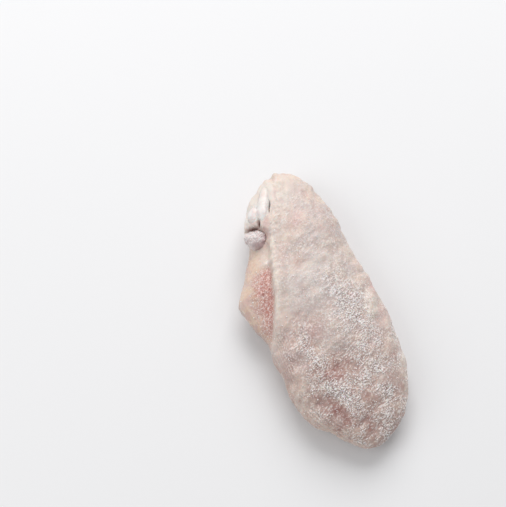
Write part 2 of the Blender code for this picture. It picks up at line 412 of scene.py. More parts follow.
@dataclass(frozen=True)
class JointPit:
    """The pit of the cut joint, seen from above, with the dark gaps round its gristle knobs.

    The round bowl in it, which the radius's head lies in, has its middle and radius in millimetres.
    """

    oval: Patch = Patch(-4.5, 34.2, 11.2, 4.3, 237.5)
    edge_wave: Bumps = Bumps(3.5 * MM, 21.4, 0.07)
    edge: Pair = (0.8, 1.15)
    upper_side: Pair = (-0.1, 0.3)
    floor_depth: float = 0.5 * MM
    floor_edge: Pair = (0.55, 1.08)
    lip_height: float = 0.15 * MM
    lip_line: Pair = (1.15, 0.14)

    bowl_middle: Pair = (-8.7, 27.4)
    bowl_radius: float = 4.05
    bowl_wave: Bumps = Bumps(1.6 * MM, 33.3, 0.06)
    bowl_floor: float = 12.4 * MM
    bowl_wall: float = 4.4 * MM
    bowl_steepness: int = 4
    bowl_reach: float = 3
    bowl_softness: float = 0.25 * MM

    gaps: tuple[Patch, ...] = patches(
        (-9, 31.2, 2.2, 0.62, -27), (-6.4, 31.6, 1.1, 0.42, 68), (-0.85, 36.3, 1.1, 0.42, 68),
        (-1.5, 34.4, 1.3, 0.2, 70, 0.45),
    )
    gap_depth: float = 1.9 * MM
    # The white sheath round the knobs; its third patch, on the left-facing strip beside the lower knob, is
    # partly painted light on a slope that turns from the light.
    sheaths: tuple[Patch, ...] = patches(
        (-2, 36.9, 6.6, 2.7, 63), (-6.2, 35.4, 3.9, 2.3, 64), (-9.7, 33.6, 5.5, 1.5, 74, 0.75),
        (-8.7, 17.7, 1.3, 1.1, 0, 0.6),
    )
    sheath_height: float = 0.25 * MM
    sheath_off_gaps: Pair = (0.6, 0.1)
    tissue: tuple[Patch, ...] = patches(
        (-4.9, 29.2, 3.4, 1.2, 69, 0.6), (-7.6, 32.6, 2.2, 0.55, -27, 0.8),
        (-5, 33.6, 1.6, 0.4, 66, 0.45), (-6.6, 24.6, 2.4, 0.9, 50, 0.5),
        (2.5, 39.2, 2.2, 0.6, 67, 0.45), (-3.6, 31.4, 2.2, 1, 68, 0.5),
    )

    def place(self, points: Array) -> Array:
        """How far out in the pit each point is: 0 at its middle and 1 at its uneven edge."""
        strength = np.clip(self.oval.spread(points), 1e-30, 1)
        return np.sqrt(-np.log(strength)) + self.edge_wave.heights(points)

    def sink(self, points: Array, place: Array) -> Array:
        """How far the pit raises its lip and its sheath and sinks its floor and its gaps.

        Args:
            points: Points of the body.
            place: How far out in the pit each is.

        Returns:
            A height for each point.
        """
        floor = self.floor_depth * (1 - ease(*self.floor_edge, place))
        height = self.lip_height * bell(place, *self.lip_line) - floor
        height = height + self.sheath_height * self.sheath(points)
        return height - self.gap_depth * overlay(self.gaps, points)

    def sheath(self, points: Array) -> Array:
        """How much each point belongs to the white sheath round the gristle knobs."""
        off_gaps = ease(*self.sheath_off_gaps, overlay(self.gaps, points))
        return np.clip(overlay(self.sheaths, points), 0, 1) * off_gaps

    def cut_bowl(self, points: Array) -> Array:
        """Heights of the points with the bowl cut in them, its rim softened.

        Args:
            points: Points of the body.

        Returns:
            The height of each point.
        """
        x = points[..., 0] / MM - self.bowl_middle[0]
        y = points[..., 1] / MM - self.bowl_middle[1]
        far = np.hypot(x, y) / self.bowl_radius + self.bowl_wave.heights(points)
        wall = self.bowl_floor + self.bowl_wall * np.minimum(far, self.bowl_reach) ** self.bowl_steepness
        over = np.clip((points[..., 2] - wall) / self.bowl_softness, -30, 30)
        return points[..., 2] - self.bowl_softness * np.log1p(np.exp(over))


@dataclass(frozen=True)
class Ground:
    """The plain body, and where on it each point is.

    It has each point's share of the length and angle round its ring, how far it is along the wing
    and beyond the back skin's margin, in millimetres, and how much it is on the top, the back and
    the web, towards the wrist and off the elbow, from 0 to 1.
    """

    points: Array
    share: Array
    angle: Array
    y: Array
    beyond: Array
    top: Array
    back: Array
    web: Array
    wrist: Array
    off_elbow: Array
    known: dict[Bumps, Array] = field(default_factory=dict)

    def read(self, bumps: Bumps) -> Array:
        """The noise at each point, which is reckoned once for each kind of bumps."""
        if bumps not in self.known:
            self.known[bumps] = bumps.read(self.points)
        return self.known[bumps]

    def heights(self, bumps: Bumps) -> Array:
        """The noise at its height."""
        return bumps.height * self.read(bumps)


@dataclass(frozen=True)
class FeatherRow:
    """The scalloped row of feather pits at the ulna's edge."""

    pitch: float = 5.6 * MM
    height: float = 0.5 * MM
    mean_scallop: float = 0.64
    slope: float = 0.55
    waver: Bumps = Bumps(13 * MM, 7.1, 1.5 * MM)
    edge_width: float = 0.25
    begins: Pair = (0.03, 0.1)
    weakens: Pair = (0.52, 0.66)
    weakening: Pair = (1, -0.7)
    ends: Pair = (0.8, 0.93)
    evenness: Pair = (0.75, 0.9)
    unevenness: Bumps = Bumps(8 * MM, 52.6)

    def heights(self, at: Ground) -> Array:
        """How high the scallops stand.

        Args:
            at: The body.

        Returns:
            A height for each point.
        """
        slant = at.points[..., 1] - self.slope * at.points[..., 0] + at.heights(self.waver)
        rim = bell(np.cos(at.angle), 1, self.edge_width) * ease(*self.begins, at.share)
        rim = rim * partly(self.weakening, ease(*self.weakens, at.share)) * (1 - ease(*self.ends, at.share))
        rim = rim * partly(self.evenness, at.read(self.unevenness))
        return self.height * rim * (np.abs(np.sin(math.pi * slant / self.pitch)) - self.mean_scallop)


@dataclass(frozen=True)
class EdgeFolds:
    """Fine folds that follow the leading edge, on the web and beside the wrist."""

    pitch: float = 1.5 * MM
    height: float = 0.15 * MM
    edge_width: float = 0.35
    begins: Pair = (12 * MM, -6 * MM)
    patchiness: Bumps = Bumps(5 * MM, 44.4)
    patch_edge: Pair = (-0.35, 0.25)
    across: float = 0.6
    upward: float = 1.3
    bend: Bumps = Bumps(7 * MM, 31.0, 2.6 * MM)

    def heights(self, at: Ground) -> Array:
        """How high the folds stand.

        Args:
            at: The body.

        Returns:
            A height for each point.
        """
        strength = bell(np.cos(at.angle), -1, self.edge_width) * ease(*self.begins, at.points[..., 1])
        strength = strength * ease(*self.patch_edge, at.read(self.patchiness))
        run = at.points[..., 2] * self.upward + at.points[..., 0] * self.across + at.heights(self.bend)
        return self.height * strength * np.sin(2 * math.pi * run / self.pitch)


@dataclass(frozen=True)
class BaredMeat:
    """The strip of the web beside the back skin's margin where the meat is bared, in millimetres."""

    waver: Bumps = Bumps(2.6 * MM, 80.1, 1.3)
    width: Pair = (4.6, 4.0)
    widest: Pair = (10, 8)
    margin_edge: Pair = (0.3, 0.9)
    outer_edge: Pair = (0.6, -4.6)
    elbow_edge: Pair = (17.5, 14.5)
    wrist_edge: Pair = (-6.2, -1.0)

    def spread(self, at: Ground) -> Array:
        """Where the meat is bared.

        Args:
            at: The body.

        Returns:
            A share from 0 to 1 for each point.
        """
        uneven = at.heights(self.waver)
        width = partly(self.width, bell(at.y, *self.widest))
        strip = ease(*self.margin_edge, at.beyond) * ease(*self.outer_edge, at.beyond + uneven - width)
        strip = at.web * strip * ease(*self.elbow_edge, at.y + uneven)
        return strip * ease(*self.wrist_edge, at.y + uneven)


@dataclass(frozen=True)
class SkinRelief:
    """The bumps, folds and hollows that stand on the plain body.

    Lines and edges beyond the margin and along the wing are in millimetres. A pair named for a
    place is how high the bumps are off it, and what is added to that on it.
    """

    lumps: Bumps = Bumps(13 * MM, 3.7, 1.0 * MM)
    pebbles: Bumps = Bumps(4.5 * MM, 11.3, 0.45 * MM)
    goose: Bumps = Bumps(1.5 * MM, 2.9, 0.21 * MM, 3.0 * MM, 28)
    streaks: Bumps = Bumps(1.9 * MM, 17.5, 0.23 * MM, 9 * MM, 36)
    bands: Bumps = Bumps(1.7 * MM, 63.8, 0.45 * MM, 13 * MM, 68.5)
    grain: Bumps = Bumps(1.0 * MM, 40.2, 0.08 * MM)
    crust: Bumps = Bumps(0.75 * MM, 55.9, 0.17 * MM)
    crust_least: float = -0.2
    feathers: FeatherRow = FeatherRow()
    folds: EdgeFolds = EdgeFolds()

    fine_on_back: Pair = (0.4, 0.6)
    pebbles_on_web: Pair = (1, -0.6)
    goose_on_web: Pair = (1, -0.8)
    goose_off_elbow: Pair = (0.35, 0.65)
    bands_edge: Pair = (22, 34)

    lip_height: float = 0.25 * MM
    lip_line: Pair = (-1.0, 1.1)
    lip_stretch: Stretch = Stretch((0.2, 0.27), (0.54, 0.64))
    crease_depth: float = 0.3 * MM
    crease_line: Pair = (0, 0.6)
    crease_stretch: Stretch = Stretch((0.01, 0.04), (0.13, 0.2))
    crease_breaks: Bumps = Bumps(2.4 * MM, 91.2)
    crease_break_edge: Pair = (-0.3, 0.2)
    crease_off_breaks: Pair = (0.5, 0.5)
    nap_height: float = 0.2 * MM
    nap_line: Pair = (-1.5, 2.4)
    nap_edge: Pair = (12, 20)

    swells: tuple[Patch, ...] = patches(
        (17.2, -5.8, 4.8, 1.9, 68, 0.8), (19.5, -16.5, 4.5, 1.8, 70, 0.5),
        (-8.7, 17.7, 1.3, 1.1, 0, 0.8), (-12.9, 9.3, 2.4, 0.35, 21, 0.35),
        (-16.4, 7.9, 3, 0.4, -26, -0.18), (-7.3, 14.6, 1, 0.9, 0, 0.35),
        (0.5, -21.4, 4.2, 3.2, 66, -0.6), (-7.2, -33, 7.5, 2.3, -58, -0.55),
        (14.4, -30.8, 3.2, 2.2, 66, -0.25), (-3.2, -29.4, 5.6, 2.4, -51, 0.4),
        (5.5, -12.5, 6, 3.4, 30, 0.5), (5.5, -33, 6.5, 3.2, 15, 0.45), (-8, -20, 4, 3, 60, 0.35),
        (3.7, 46.6, 1.2, 1.6, 0, -1.1), (2.2, 45.9, 0.7, 0.7, 0, 0.35), (1.9, 44.2, 0.6, 0.6, 0, 0.3),
    )

    def lip(self, at: Ground) -> Array:
        """How much the raised lip of the back skin's margin is there."""
        return self.lip_stretch.keep(bell(at.beyond, *self.lip_line) * at.top, at.share)

    def crease(self, at: Ground) -> Array:
        """How much the broken crease that goes on from the margin is there.

        Args:
            at: The body.

        Returns:
            A share from 0 to 1 for each point.
        """
        line = self.crease_stretch.keep(bell(at.beyond, *self.crease_line) * at.top, at.share)
        whole = ease(*self.crease_break_edge, at.read(self.crease_breaks))
        return line * partly(self.crease_off_breaks, whole)

    def bands_beside_joint(self, at: Ground) -> Array:
        """The noise of the bands beside the joint, and 0 away from it."""
        return at.read(self.bands) * ease(*self.bands_edge, at.y) * at.top

    def heights(self, at: Ground, frost: Array) -> Array:
        """How high the skin stands outside the pit.

        Args:
            at: The body.
            frost: How much frost is on each point.

        Returns:
            A height for each point.
        """
        fine = partly(self.fine_on_back, at.back)
        crust = np.maximum(at.read(self.crust), self.crust_least)
        goose = at.heights(self.goose) * partly(self.goose_off_elbow, at.off_elbow)
        height = at.heights(self.lumps)
        height += at.heights(self.pebbles) * fine * partly(self.pebbles_on_web, at.web)
        height += self.feathers.heights(at)
        height += goose * partly(self.goose_on_web, at.web)
        height += at.heights(self.streaks) * at.wrist * at.back * (1 - at.web)
        height += at.heights(self.grain) * fine
        height += self.crust.height * crust * np.clip(frost, 0, 1)
        height += self.folds.heights(at)
        height += MM * at.top * overlay(self.swells, at.points)
        height += self.lip_height * self.lip(at) + self.bands.height * self.bands_beside_joint(at)
        nap = self.nap_height * at.read(self.grain) * bell(at.beyond, *self.nap_line) * at.top
        return height + nap * ease(*self.nap_edge, at.y)


@dataclass(frozen=True)
class SkinMarks:
    """Where the skin's colours, the shade and light painted on it, and its frost lie.

    Edges along the wing are in millimetres. A pair named for a place or a noise is how much there
    is off it, and what is added to that on it.
    """

    # The fat's pale cream, and painted light: several patches lighten slopes that turn from the light,
    # round the pit, below the ball and along the ulna's lower edge.
    fat: tuple[Patch, ...] = patches(
        (16.9, -6.4, 4.3, 1.7, 68, 2.2), (16.4, -8, 2.8, 1.5, 68, 1.5), (14.6, 1.2, 3.2, 1.8, 66, 0.4),
        (19.5, -17, 6, 2.2, 75, 0.65), (-9.2, 17.8, 1.4, 1.2, 0, 0.9), (-0.9, 21.8, 2.6, 2, 30, 0.6),
        (-5.8, 39.6, 7, 1.6, 50, 0.9), (-9.6, 34, 3.6, 1.2, 80, 0.8), (-3.6, 35.5, 9.5, 3.6, 57, 0.7),
        (4, 42, 9, 6, 0, 0.75), (3, 34, 9, 3, 68, 0.5), (-7, 22, 5, 3, 70, 0.9),
        (-19.5, 14, 8, 1.6, 66, 0.4), (20.8, -28.5, 9, 3, 80, 1.1), (-15.8, -14.7, 3.5, 1.8, -75, 0.35),
        (-13.2, -4, 5, 1.4, 64, 0.5), (-13.2, -25.4, 4.5, 2.6, -60, 0.9),
        (15.5, -36.8, 4.5, 2.4, 60, 0.5), (-5, 7, 6, 3, 60, 0.25), (-1.5, 30.3, 3.2, 1.1, 66, 0.5),
        (-12.6, -2.6, 4, 2.2, 66, 0.6), (-15, -30, 7, 1.5, -62, 0.6), (-10, -37.5, 6, 1.4, -52, 0.6),
        (-4.6, -43.8, 5, 1.3, -48, 0.5),
    )
    flush: tuple[Patch, ...] = patches(
        (0.3, -22.2, 4.6, 3.3, 66, 0.7), (4.4, -24.6, 2.6, 1.6, 30, 0.6),
        (-6, -33.8, 7.6, 2.2, -56, 0.85), (-1, -38, 6.5, 2.2, -50, 0.15), (4.5, -34.5, 6, 2, -45, 0.45),
        (-5.2, -22.6, 4.2, 2.4, -50, 0.75), (-3.4, -26.4, 2.8, 1.7, -50, 0.5),
        (2, -35.4, 3.4, 2, 40, 0.3), (-13.8, -28.6, 4, 2.2, -60, 0.2),
        (-11.2, -27.6, 2.6, 1.6, -57, 0.45), (-9.7, -32, 2.6, 1.4, -57, 0.35),
        (-3.6, -37.3, 2.2, 1.4, -57, 0.4), (-6, -31.8, 2, 1.3, -57, 0.35),
        (-2.6, -23.2, 2.6, 1.6, -20, 0.8), (-1.6, -19.6, 2, 1.4, 60, 0.3),
        (-7.4, -36.8, 4, 1.8, -50, 0.5), (-2.4, -7.2, 5, 2.6, 45, 0.24), (2, -42.2, 2.8, 1.9, 66, 0.95),
        (14.4, -30.8, 3.4, 2.3, 66, 0.35), (17, -24, 3.6, 1.6, 70, 0.45),
        (-5.1, -11, 3.5, 2.2, 30, 0.35), (-14.5, -17, 4, 2, 60, 0.4), (-0.1, 13.1, 1.9, 1.1, 60, 0.45),
        (-2, 4, 3, 1.6, 60, 0.3), (0.6, 21.1, 1.6, 1, 60, 0.35), (2.5, 26, 2.4, 1.4, 30, 0.25),
        (8, -44, 5, 2, 0, 0.4),
    )
    blush: tuple[Patch, ...] = patches(
        (5.2, 27.2, 3.5, 2.2, 60, 0.75), (-12.6, -2.6, 3.2, 1.8, 66, 0.3),
        (20.2, -0.5, 4, 1.6, 70, 0.85), (19.4, -10.4, 3.2, 1.6, 70, 0.6), (-11, -8, 8, 4, 60, 0.35),
        (-3.5, -9, 5, 3, 60, 0.3), (-4, 18, 5, 2, 70, 0.3),
    )
    haze: tuple[Patch, ...] = patches(
        (8, 8, 13, 8, 60, 0.9), (-3, 4, 7, 5, 60, 0.95), (5, 28, 7, 5, 60, 0.4),
        (20.5, -24, 14, 2.6, 84, 0.8), (4, -10, 10, 7, 30, 0.6), (1.6, -16.6, 3, 1.8, 30, 0.9),
        (9, -28, 7, 4, 30, 0.7), (-3, -29, 5, 3, -51, 0.5), (-4, -17, 4, 3, 60, 0.2),
    )
    frost: tuple[Patch, ...] = patches(
        (8, 2, 6, 5, 60, 0.35), (10.4, -4.2, 6, 4.5, 60, 0.45), (10.3, -9, 6.5, 4.5, 60, 0.45),
        (13.8, -18.7, 2.6, 2, 66, 0.9), (-6.4, -17.4, 5.2, 2.1, 105, 0.75),
        (-7.8, -10.4, 3, 2, 66, 0.4), (5.5, -19, 3.6, 2.4, 30, 0.35), (-2.6, -30.4, 6, 2.4, -51, 1.1),
        (5.5, -28.5, 5, 2.6, 28, 0.4), (10.6, -27.6, 1.7, 1, -20, 0.7),
        (10.8, -33.6, 1.9, 1.4, 60, 0.6), (8.2, -41.6, 3.2, 1.4, 66, 0.8), (-11, -26, 2.4, 1.4, 0, 0.4),
    )

    meat: BaredMeat = BaredMeat()
    clumps: Bumps = Bumps(2.2 * MM, 61.3)
    drift: Bumps = Bumps(6 * MM, 70.7)

    fat_in_clumps: Pair = (0.85, 0.5)
    # Painted light: the margin's lip, which is whitish and turns from the light, is painted paler, and a
    # rim of light is painted along the ulna's edge.
    pale_lip_and_painted_light: float = 0.9
    painted_rim_light: float = 0.5
    rim_light_side: Pair = (0.9, 0.985)
    rim_light_stretch: Stretch = Stretch((0.02, 0.06), (0.5, 0.62))

    tint_in_clumps: Pair = (0.8, 0.7)
    flush_on_wrist: float = 0.4
    flush_between_streaks: Pair = (0.05, 0.5)
    flush_below: float = 0.3
    flush_in_drift: Pair = (0.05, 0.4)
    haze_on_flush: Pair = (1, -0.8)

    frost_on_wrist: Pair = (0.16, 0.46)
    frost_in_drift: Pair = (0.8, 0.9)
    frost_in_clumps: Pair = (0.85, 0.4)
    frost_on_web: Pair = (1, -0.75)
    frost_on_flush: Pair = (1, -0.6)
    frost_on_edge: Pair = (1, -0.85)
    frost_on_meat: float = 0.15
    frost_begins: Pair = (43, 28)
    bare_side: Pair = (0.8, 0.95)
    bare_begins: Pair = (6, -8)

    # Painted shade in the goose bumps' valleys and in the bands' low parts.
    valley_in_goose: Pair = (0.1, -0.45)
    valley_in_bands: Pair = (0.05, -0.35)
    valley_off_elbow: Pair = (0.4, 0.6)
    band_valley: float = 1.5
    # Painted shade: how dark the gaps round the knobs are painted.
    gap_shade_strength: float = 1.3
    sheath_in_clumps: Pair = (0.9, 0.4)

    def flush_at(self, at: Ground, streaks: Array) -> Array:
        """Where the blood shows dark through the skin.

        Args:
            at: The body.
            streaks: The noise of the skin's streaks.

        Returns:
            How much of it there is on each point.
        """
        wrist = self.flush_on_wrist * at.wrist * at.back * ease(*self.flush_between_streaks, -streaks)
        below = self.flush_below * (1 - at.top) * ease(*self.flush_in_drift, at.read(self.drift))
        placed = at.top * overlay(self.flush, at.points) * partly(self.tint_in_clumps, at.read(self.clumps))
        return placed + (wrist + below)

    def frost_at(self, at: Ground, flush: Array, meat: Array) -> Array:
        """Where the frost lies.

        Args:
            at: The body.
            flush: How much blood shows on each point, from 0 to 1.
            meat: How much meat is bared on each point.

        Returns:
            How much frost there is on each point.
        """
        drifted = partly(self.frost_on_wrist, at.wrist) * partly(self.frost_in_drift, at.read(self.drift))
        bare = ease(*self.bare_side, -np.cos(at.angle)) * ease(*self.bare_begins, at.y)
        frost = at.top * overlay(self.frost, at.points) + drifted
        frost = frost * partly(self.frost_on_web, at.web) * partly(self.frost_on_flush, flush)
        frost = frost * partly(self.frost_on_edge, bare)
        frost = frost * partly(self.frost_in_clumps, at.read(self.clumps))
        return (frost + self.frost_on_meat * meat) * ease(*self.frost_begins, at.y)

    def spread(self, at: Ground, relief: SkinRelief, pit: JointPit) -> dict[Mark, Array]:
        """All that is marked on the skin.

        Args:
            at: The body.
            relief: What stands on it.
            pit: The pit of the cut joint.

        Returns:
            A value for each mark and point.
        """
        clumps = at.read(self.clumps)
        meat = self.meat.spread(at)
        flush = self.flush_at(at, at.read(relief.streaks))
        flushed = np.clip(flush, 0, 1)
        haze = at.top * overlay(self.haze, at.points) * partly(self.tint_in_clumps, clumps)
        fat = at.back * overlay(self.fat, at.points) * partly(self.fat_in_clumps, clumps)
        # Where the painted rim of light lies along the ulna's edge.
        rim = self.rim_light_stretch.keep(ease(*self.rim_light_side, np.cos(at.angle)) * at.back, at.share)
        # Painted shade: darker in the goose bumps' valleys and along the broken crease.
        valley_shade = ease(*self.valley_in_goose, at.read(relief.goose)) * (1 - at.web)
        valley_shade = valley_shade * partly(self.valley_off_elbow, at.off_elbow) + relief.crease(at)
        bands = ease(*self.valley_in_bands, relief.bands_beside_joint(at))
        return {
            Mark.WEB: at.web,
            Mark.MEAT: meat,
            # Fat, with painted light on the lip and along the ulna's edge.
            Mark.FAT: fat + self.pale_lip_and_painted_light * relief.lip(at) + self.painted_rim_light * rim,
            Mark.FLUSH: flush,
            # Painted shade in the valleys, the crease and the bands.
            Mark.VALLEY_SHADE: valley_shade + self.band_valley * bands,
            Mark.TISSUE: at.top * overlay(pit.tissue + self.blush, at.points),
            # Painted shade in the gaps round the knobs.
            Mark.GAP_SHADE: at.top * self.gap_shade_strength * overlay(pit.gaps, at.points),
            Mark.SHEATH: at.top * pit.sheath(at.points) * partly(self.sheath_in_clumps, clumps),
            Mark.FROST: self.frost_at(at, flushed, meat),
            Mark.HAZE: haze * (1 - at.web) * partly(self.haze_on_flush, flushed),
            Mark.WRIST: at.wrist,
        }


class Rings:
    """A closed mesh over rings of points, with a point at each end."""

    @staticmethod
    def with_ends(values: Array) -> Array:
        """The rings' values, numbers or vectors, in one row, with the two end points' last."""
        ends = [values[0].mean(axis=0), values[-1].mean(axis=0)]
        return np.concatenate([values.reshape(-1, *values.shape[2:]), ends])

    @classmethod
    def mesh(cls, name: str, points: Array) -> bpy.types.Mesh:
        """Builds the mesh.

        Args:
            name: The mesh's name.
            points: The points, ring by ring.

        Returns:
            The mesh, its points in the rings' order and the two end points last.
        """
        rings, sides = points.shape[:2]
        number = np.arange(rings * sides).reshape(rings, sides)
        after = np.roll(number, -1, axis=1)
        quads = np.stack([number[:-1], after[:-1], after[1:], number[1:]], axis=-1).reshape(-1, 4)
        first, last = rings * sides, rings * sides + 1
        caps = [(first, b, a) for a, b in zip(number[0].tolist(), after[0].tolist())]
        caps += [(last, a, b) for a, b in zip(number[-1].tolist(), after[-1].tolist())]
        mesh = bpy.data.meshes.new(name)
        mesh.from_pydata(cls.with_ends(points).tolist(), [], quads.tolist() + caps)
        shape = bmesh.new()
        shape.from_mesh(mesh)
        bmesh.ops.recalc_face_normals(shape, faces=shape.faces)
        shape.to_mesh(mesh)
        shape.free()
        return mesh

    @staticmethod
    def outward(points: Array) -> Array:
        """Unit normals of the rings' points.

        Args:
            points: The points, ring by ring.

        Returns:
            The normal at each point.
        """
        along = np.gradient(points, axis=0)
        around = np.roll(points, -1, axis=1) - np.roll(points, 1, axis=1)
        return unit(np.cross(around, along))


def place_object(name: str, data: bpy.types.ID) -> bpy.types.Object:
    """Puts a mesh, a camera or a lamp in the scene.

    Args:
        name: The object's name.
        data: What the object shows.

    Returns:
        The object.
    """
    obj = bpy.data.objects.new(name, data)
    bpy.context.scene.collection.objects.link(obj)
    return obj


def apply_modifiers(obj: bpy.types.Object) -> None:
    """Makes what the object's modifiers give its own mesh.

    Args:
        obj: The object.
    """
    graph = bpy.context.evaluated_depsgraph_get()
    mesh = bpy.data.meshes.new_from_object(obj.evaluated_get(graph))
    obj.modifiers.clear()
    obj.data = mesh


def clothe(obj: bpy.types.Object, finish: bpy.types.Material) -> None:
    """Gives the object one finish and smooth shading.

    Args:
        obj: The object.
        finish: The material.
    """
    obj.data.materials.clear()
    obj.data.materials.append(finish)
    obj.data.shade_smooth()


def read_values(items: bpy.types.bpy_prop_collection, key: str, width: int) -> Array:
    """The values of a mesh's items.

    Args:
        items: The items, such as the mesh's points.
        key: What is read of each.
        width: How many numbers that is.

    Returns:
        The numbers, in a row for each item.
    """
    values = np.empty(len(items) * width, np.float32)
    items.foreach_get(key, values)
    return values.reshape(-1, width).astype(float)


def read_mark(mesh: bpy.types.Mesh, kind: Mark) -> Array:
    """The values of a mark at the mesh's points."""
    return read_values(mesh.attributes[kind.value].data, "value", 1)[:, 0]


def write_marks(mesh: bpy.types.Mesh, marks: dict[Mark, Array]) -> None:
    """Keeps the values of each mark at the mesh's points.

    Args:
        mesh: The mesh.
        marks: The values of each mark.
    """
    for kind, values in marks.items():
        attribute = mesh.attributes.new(kind.value, "FLOAT", "POINT")
        attribute.data.foreach_set("value", np.clip(values, 0, 1).astype(np.float32))


class Nodes:
    """The nodes of a material or a group."""

    def __init__(self, tree: bpy.types.NodeTree) -> None:
        """Holds the tree that the nodes go in."""
        self.tree = tree

    def feed(self, node: bpy.types.Node, inputs: Inputs) -> None:
        """Sets or joins inputs of a node.

        Args:
            node: The node.
            inputs: A value, or the output that feeds it, for each input by name or number.
        """
        for key, value in inputs.items():
            socket = node.inputs[key]
            if isinstance(value, Socket):
                self.tree.links.new(value, socket)
            elif socket.type == "RGBA":
                socket.default_value = (*value, 1.0)
            else:
                socket.default_value = value

    def add(self, kind: str, inputs: Inputs | None = None, **settings: object) -> bpy.types.Node:
        """Adds a node.

        Args:
            kind: The node's type.
            inputs: A value, or the output that feeds it, for each input by name or number.
            settings: The node's own properties.

        Returns:
            The node.
        """
        node = self.tree.nodes.new(kind)
        for name, value in settings.items():
            setattr(node, name, value)
        self.feed(node, inputs or {})
        return node

    def group(self, tree: bpy.types.NodeTree, inputs: Inputs) -> bpy.types.Node:
        """Places a shared group with its own values."""
        return self.add("ShaderNodeGroup", inputs, node_tree=tree)

    def place(self) -> Socket:
        """The place on the object."""
        return self.add("ShaderNodeTexCoord").outputs["Object"]

    def mark(self, kind: Mark) -> Socket:
        """How much of a mark is there."""
        return self.add("ShaderNodeAttribute", attribute_name=kind.value).outputs["Fac"]

    def mix(self, share: Feed, first: Feed, second: Feed) -> Socket:
        """A blend of two colours, where the share is how much of the second shows."""
        return self.add("ShaderNodeMix", {0: share, 6: first, 7: second}, data_type="RGBA").outputs[2]

    def reckon(self, way: str, first: Feed, second: Feed, clamp: bool = False) -> Socket:
        """One step of arithmetic, kept from 0 to 1 where it is clamped."""
        return self.add("ShaderNodeMath", {0: first, 1: second}, operation=way, use_clamp=clamp).outputs[0]

    def plus(self, first: Feed, second: Feed) -> Socket:
        """The sum of two numbers."""
        return self.reckon("ADD", first, second)

    def minus(self, first: Feed, second: Feed) -> Socket:
        """The first number less the second."""
        return self.reckon("SUBTRACT", first, second)

    def times(self, first: Feed, second: Feed, clamp: bool = False) -> Socket:
        """The product of two numbers."""
        return self.reckon("MULTIPLY", first, second, clamp)

    def power(self, first: Feed, second: Feed) -> Socket:
        """The first number to the power of the second."""
        return self.reckon("POWER", first, second)

    def rise(self, value: Feed, levels: Pair, ends: Pair = (0.0, 1.0)) -> Socket:
        """A number that rises smoothly between two ends.

        Args:
            value: What it follows.
            levels: Where it starts to rise and where it stops.
            ends: The number below the levels and above them.

        Returns:
            The number.
        """
        inputs = {"Value": value, "From Min": levels[0], "From Max": levels[1]}
        inputs |= {"To Min": ends[0], "To Max": ends[1]}
        return self.add("ShaderNodeMapRange", inputs, interpolation_type="SMOOTHSTEP").outputs[0]

    def noise(self, place: Feed, scale: Feed, detail: float = 2.0, roughness: float = 0.5) -> Socket:
        """Smooth noise from 0 to 1, with about as many bumps in a metre as its scale says."""
        inputs = {"Vector": place, "Scale": scale, "Detail": detail, "Roughness": roughness}
        return self.add("ShaderNodeTexNoise", inputs).outputs[0]


@dataclass(frozen=True)
class Cloud:
    """Soft blotches in a finish: their size, the levels of noise they rise between, and their ends."""

    size: float
    levels: Pair = (0.0, 1.0)
    ends: Pair = (0.0, 1.0)
    detail: float = 2.0
    roughness: float = 0.5

    def noise(self, nodes: Nodes, place: Socket) -> Socket:
        """The noise under the blotches."""
        return nodes.noise(place, 1 / self.size, self.detail, self.roughness)

    def mask(self, nodes: Nodes, place: Socket) -> Socket:
        """How much of a blotch is there."""
        return nodes.rise(self.noise(nodes, place), self.levels, self.ends)


def new_group(
    name: str, inputs: dict[str, Feed | None], outputs: dict[str, str]
) -> tuple[Nodes, dict[str, Socket], bpy.types.Node]:
    """Starts a shader node group.

    Args:
        name: The group's name.
        inputs: The first value of each input, or None for a place.
        outputs: The type of each output.

    Returns:
        The group's nodes, its inputs by name, and the node that takes its outputs.
    """
    tree = bpy.data.node_groups.new(name, "ShaderNodeTree")
    kinds = {float: "NodeSocketFloat", tuple: "NodeSocketColor", type(None): "NodeSocketVector"}
    for label, value in inputs.items():
        socket = tree.interface.new_socket(label, in_out="INPUT", socket_type=kinds[type(value)])
        if value is not None:
            socket.default_value = (*value, 1.0) if isinstance(value, tuple) else value
    for label, kind in outputs.items():
        tree.interface.new_socket(label, in_out="OUTPUT", socket_type=kind)
    nodes = Nodes(tree)
    given = nodes.add("NodeGroupInput").outputs
    return nodes, {label: given[label] for label in inputs}, nodes.add("NodeGroupOutput")


@dataclass(frozen=True)
class Mottle:
    """Uneven colour: soft blotches of a second colour on a first."""

    detail: float = 3.0
    roughness: float = 0.6
    levels: Pair = (0.38, 0.62)

    def tree(self) -> bpy.types.NodeTree:
        """Builds the group.

        Returns:
            The group's nodes.
        """
        nodes, given, result = new_group(
            "mottle",
            {
                "Place": None,
                "First": (0.7, 0.6, 0.5),
                "Second": (0.6, 0.5, 0.5),
                "Blotches": 120.0,
                "Share": 0.5,
            },
            {"Color": "NodeSocketColor", "Mask": "NodeSocketFloat"},
        )
        blotches = nodes.noise(given["Place"], given["Blotches"], self.detail, self.roughness)
        mask = nodes.rise(nodes.plus(blotches, nodes.minus(given["Share"], 0.5)), self.levels)
        nodes.feed(result, {"Color": nodes.mix(mask, given["First"], given["Second"]), "Mask": mask})
        return nodes.tree


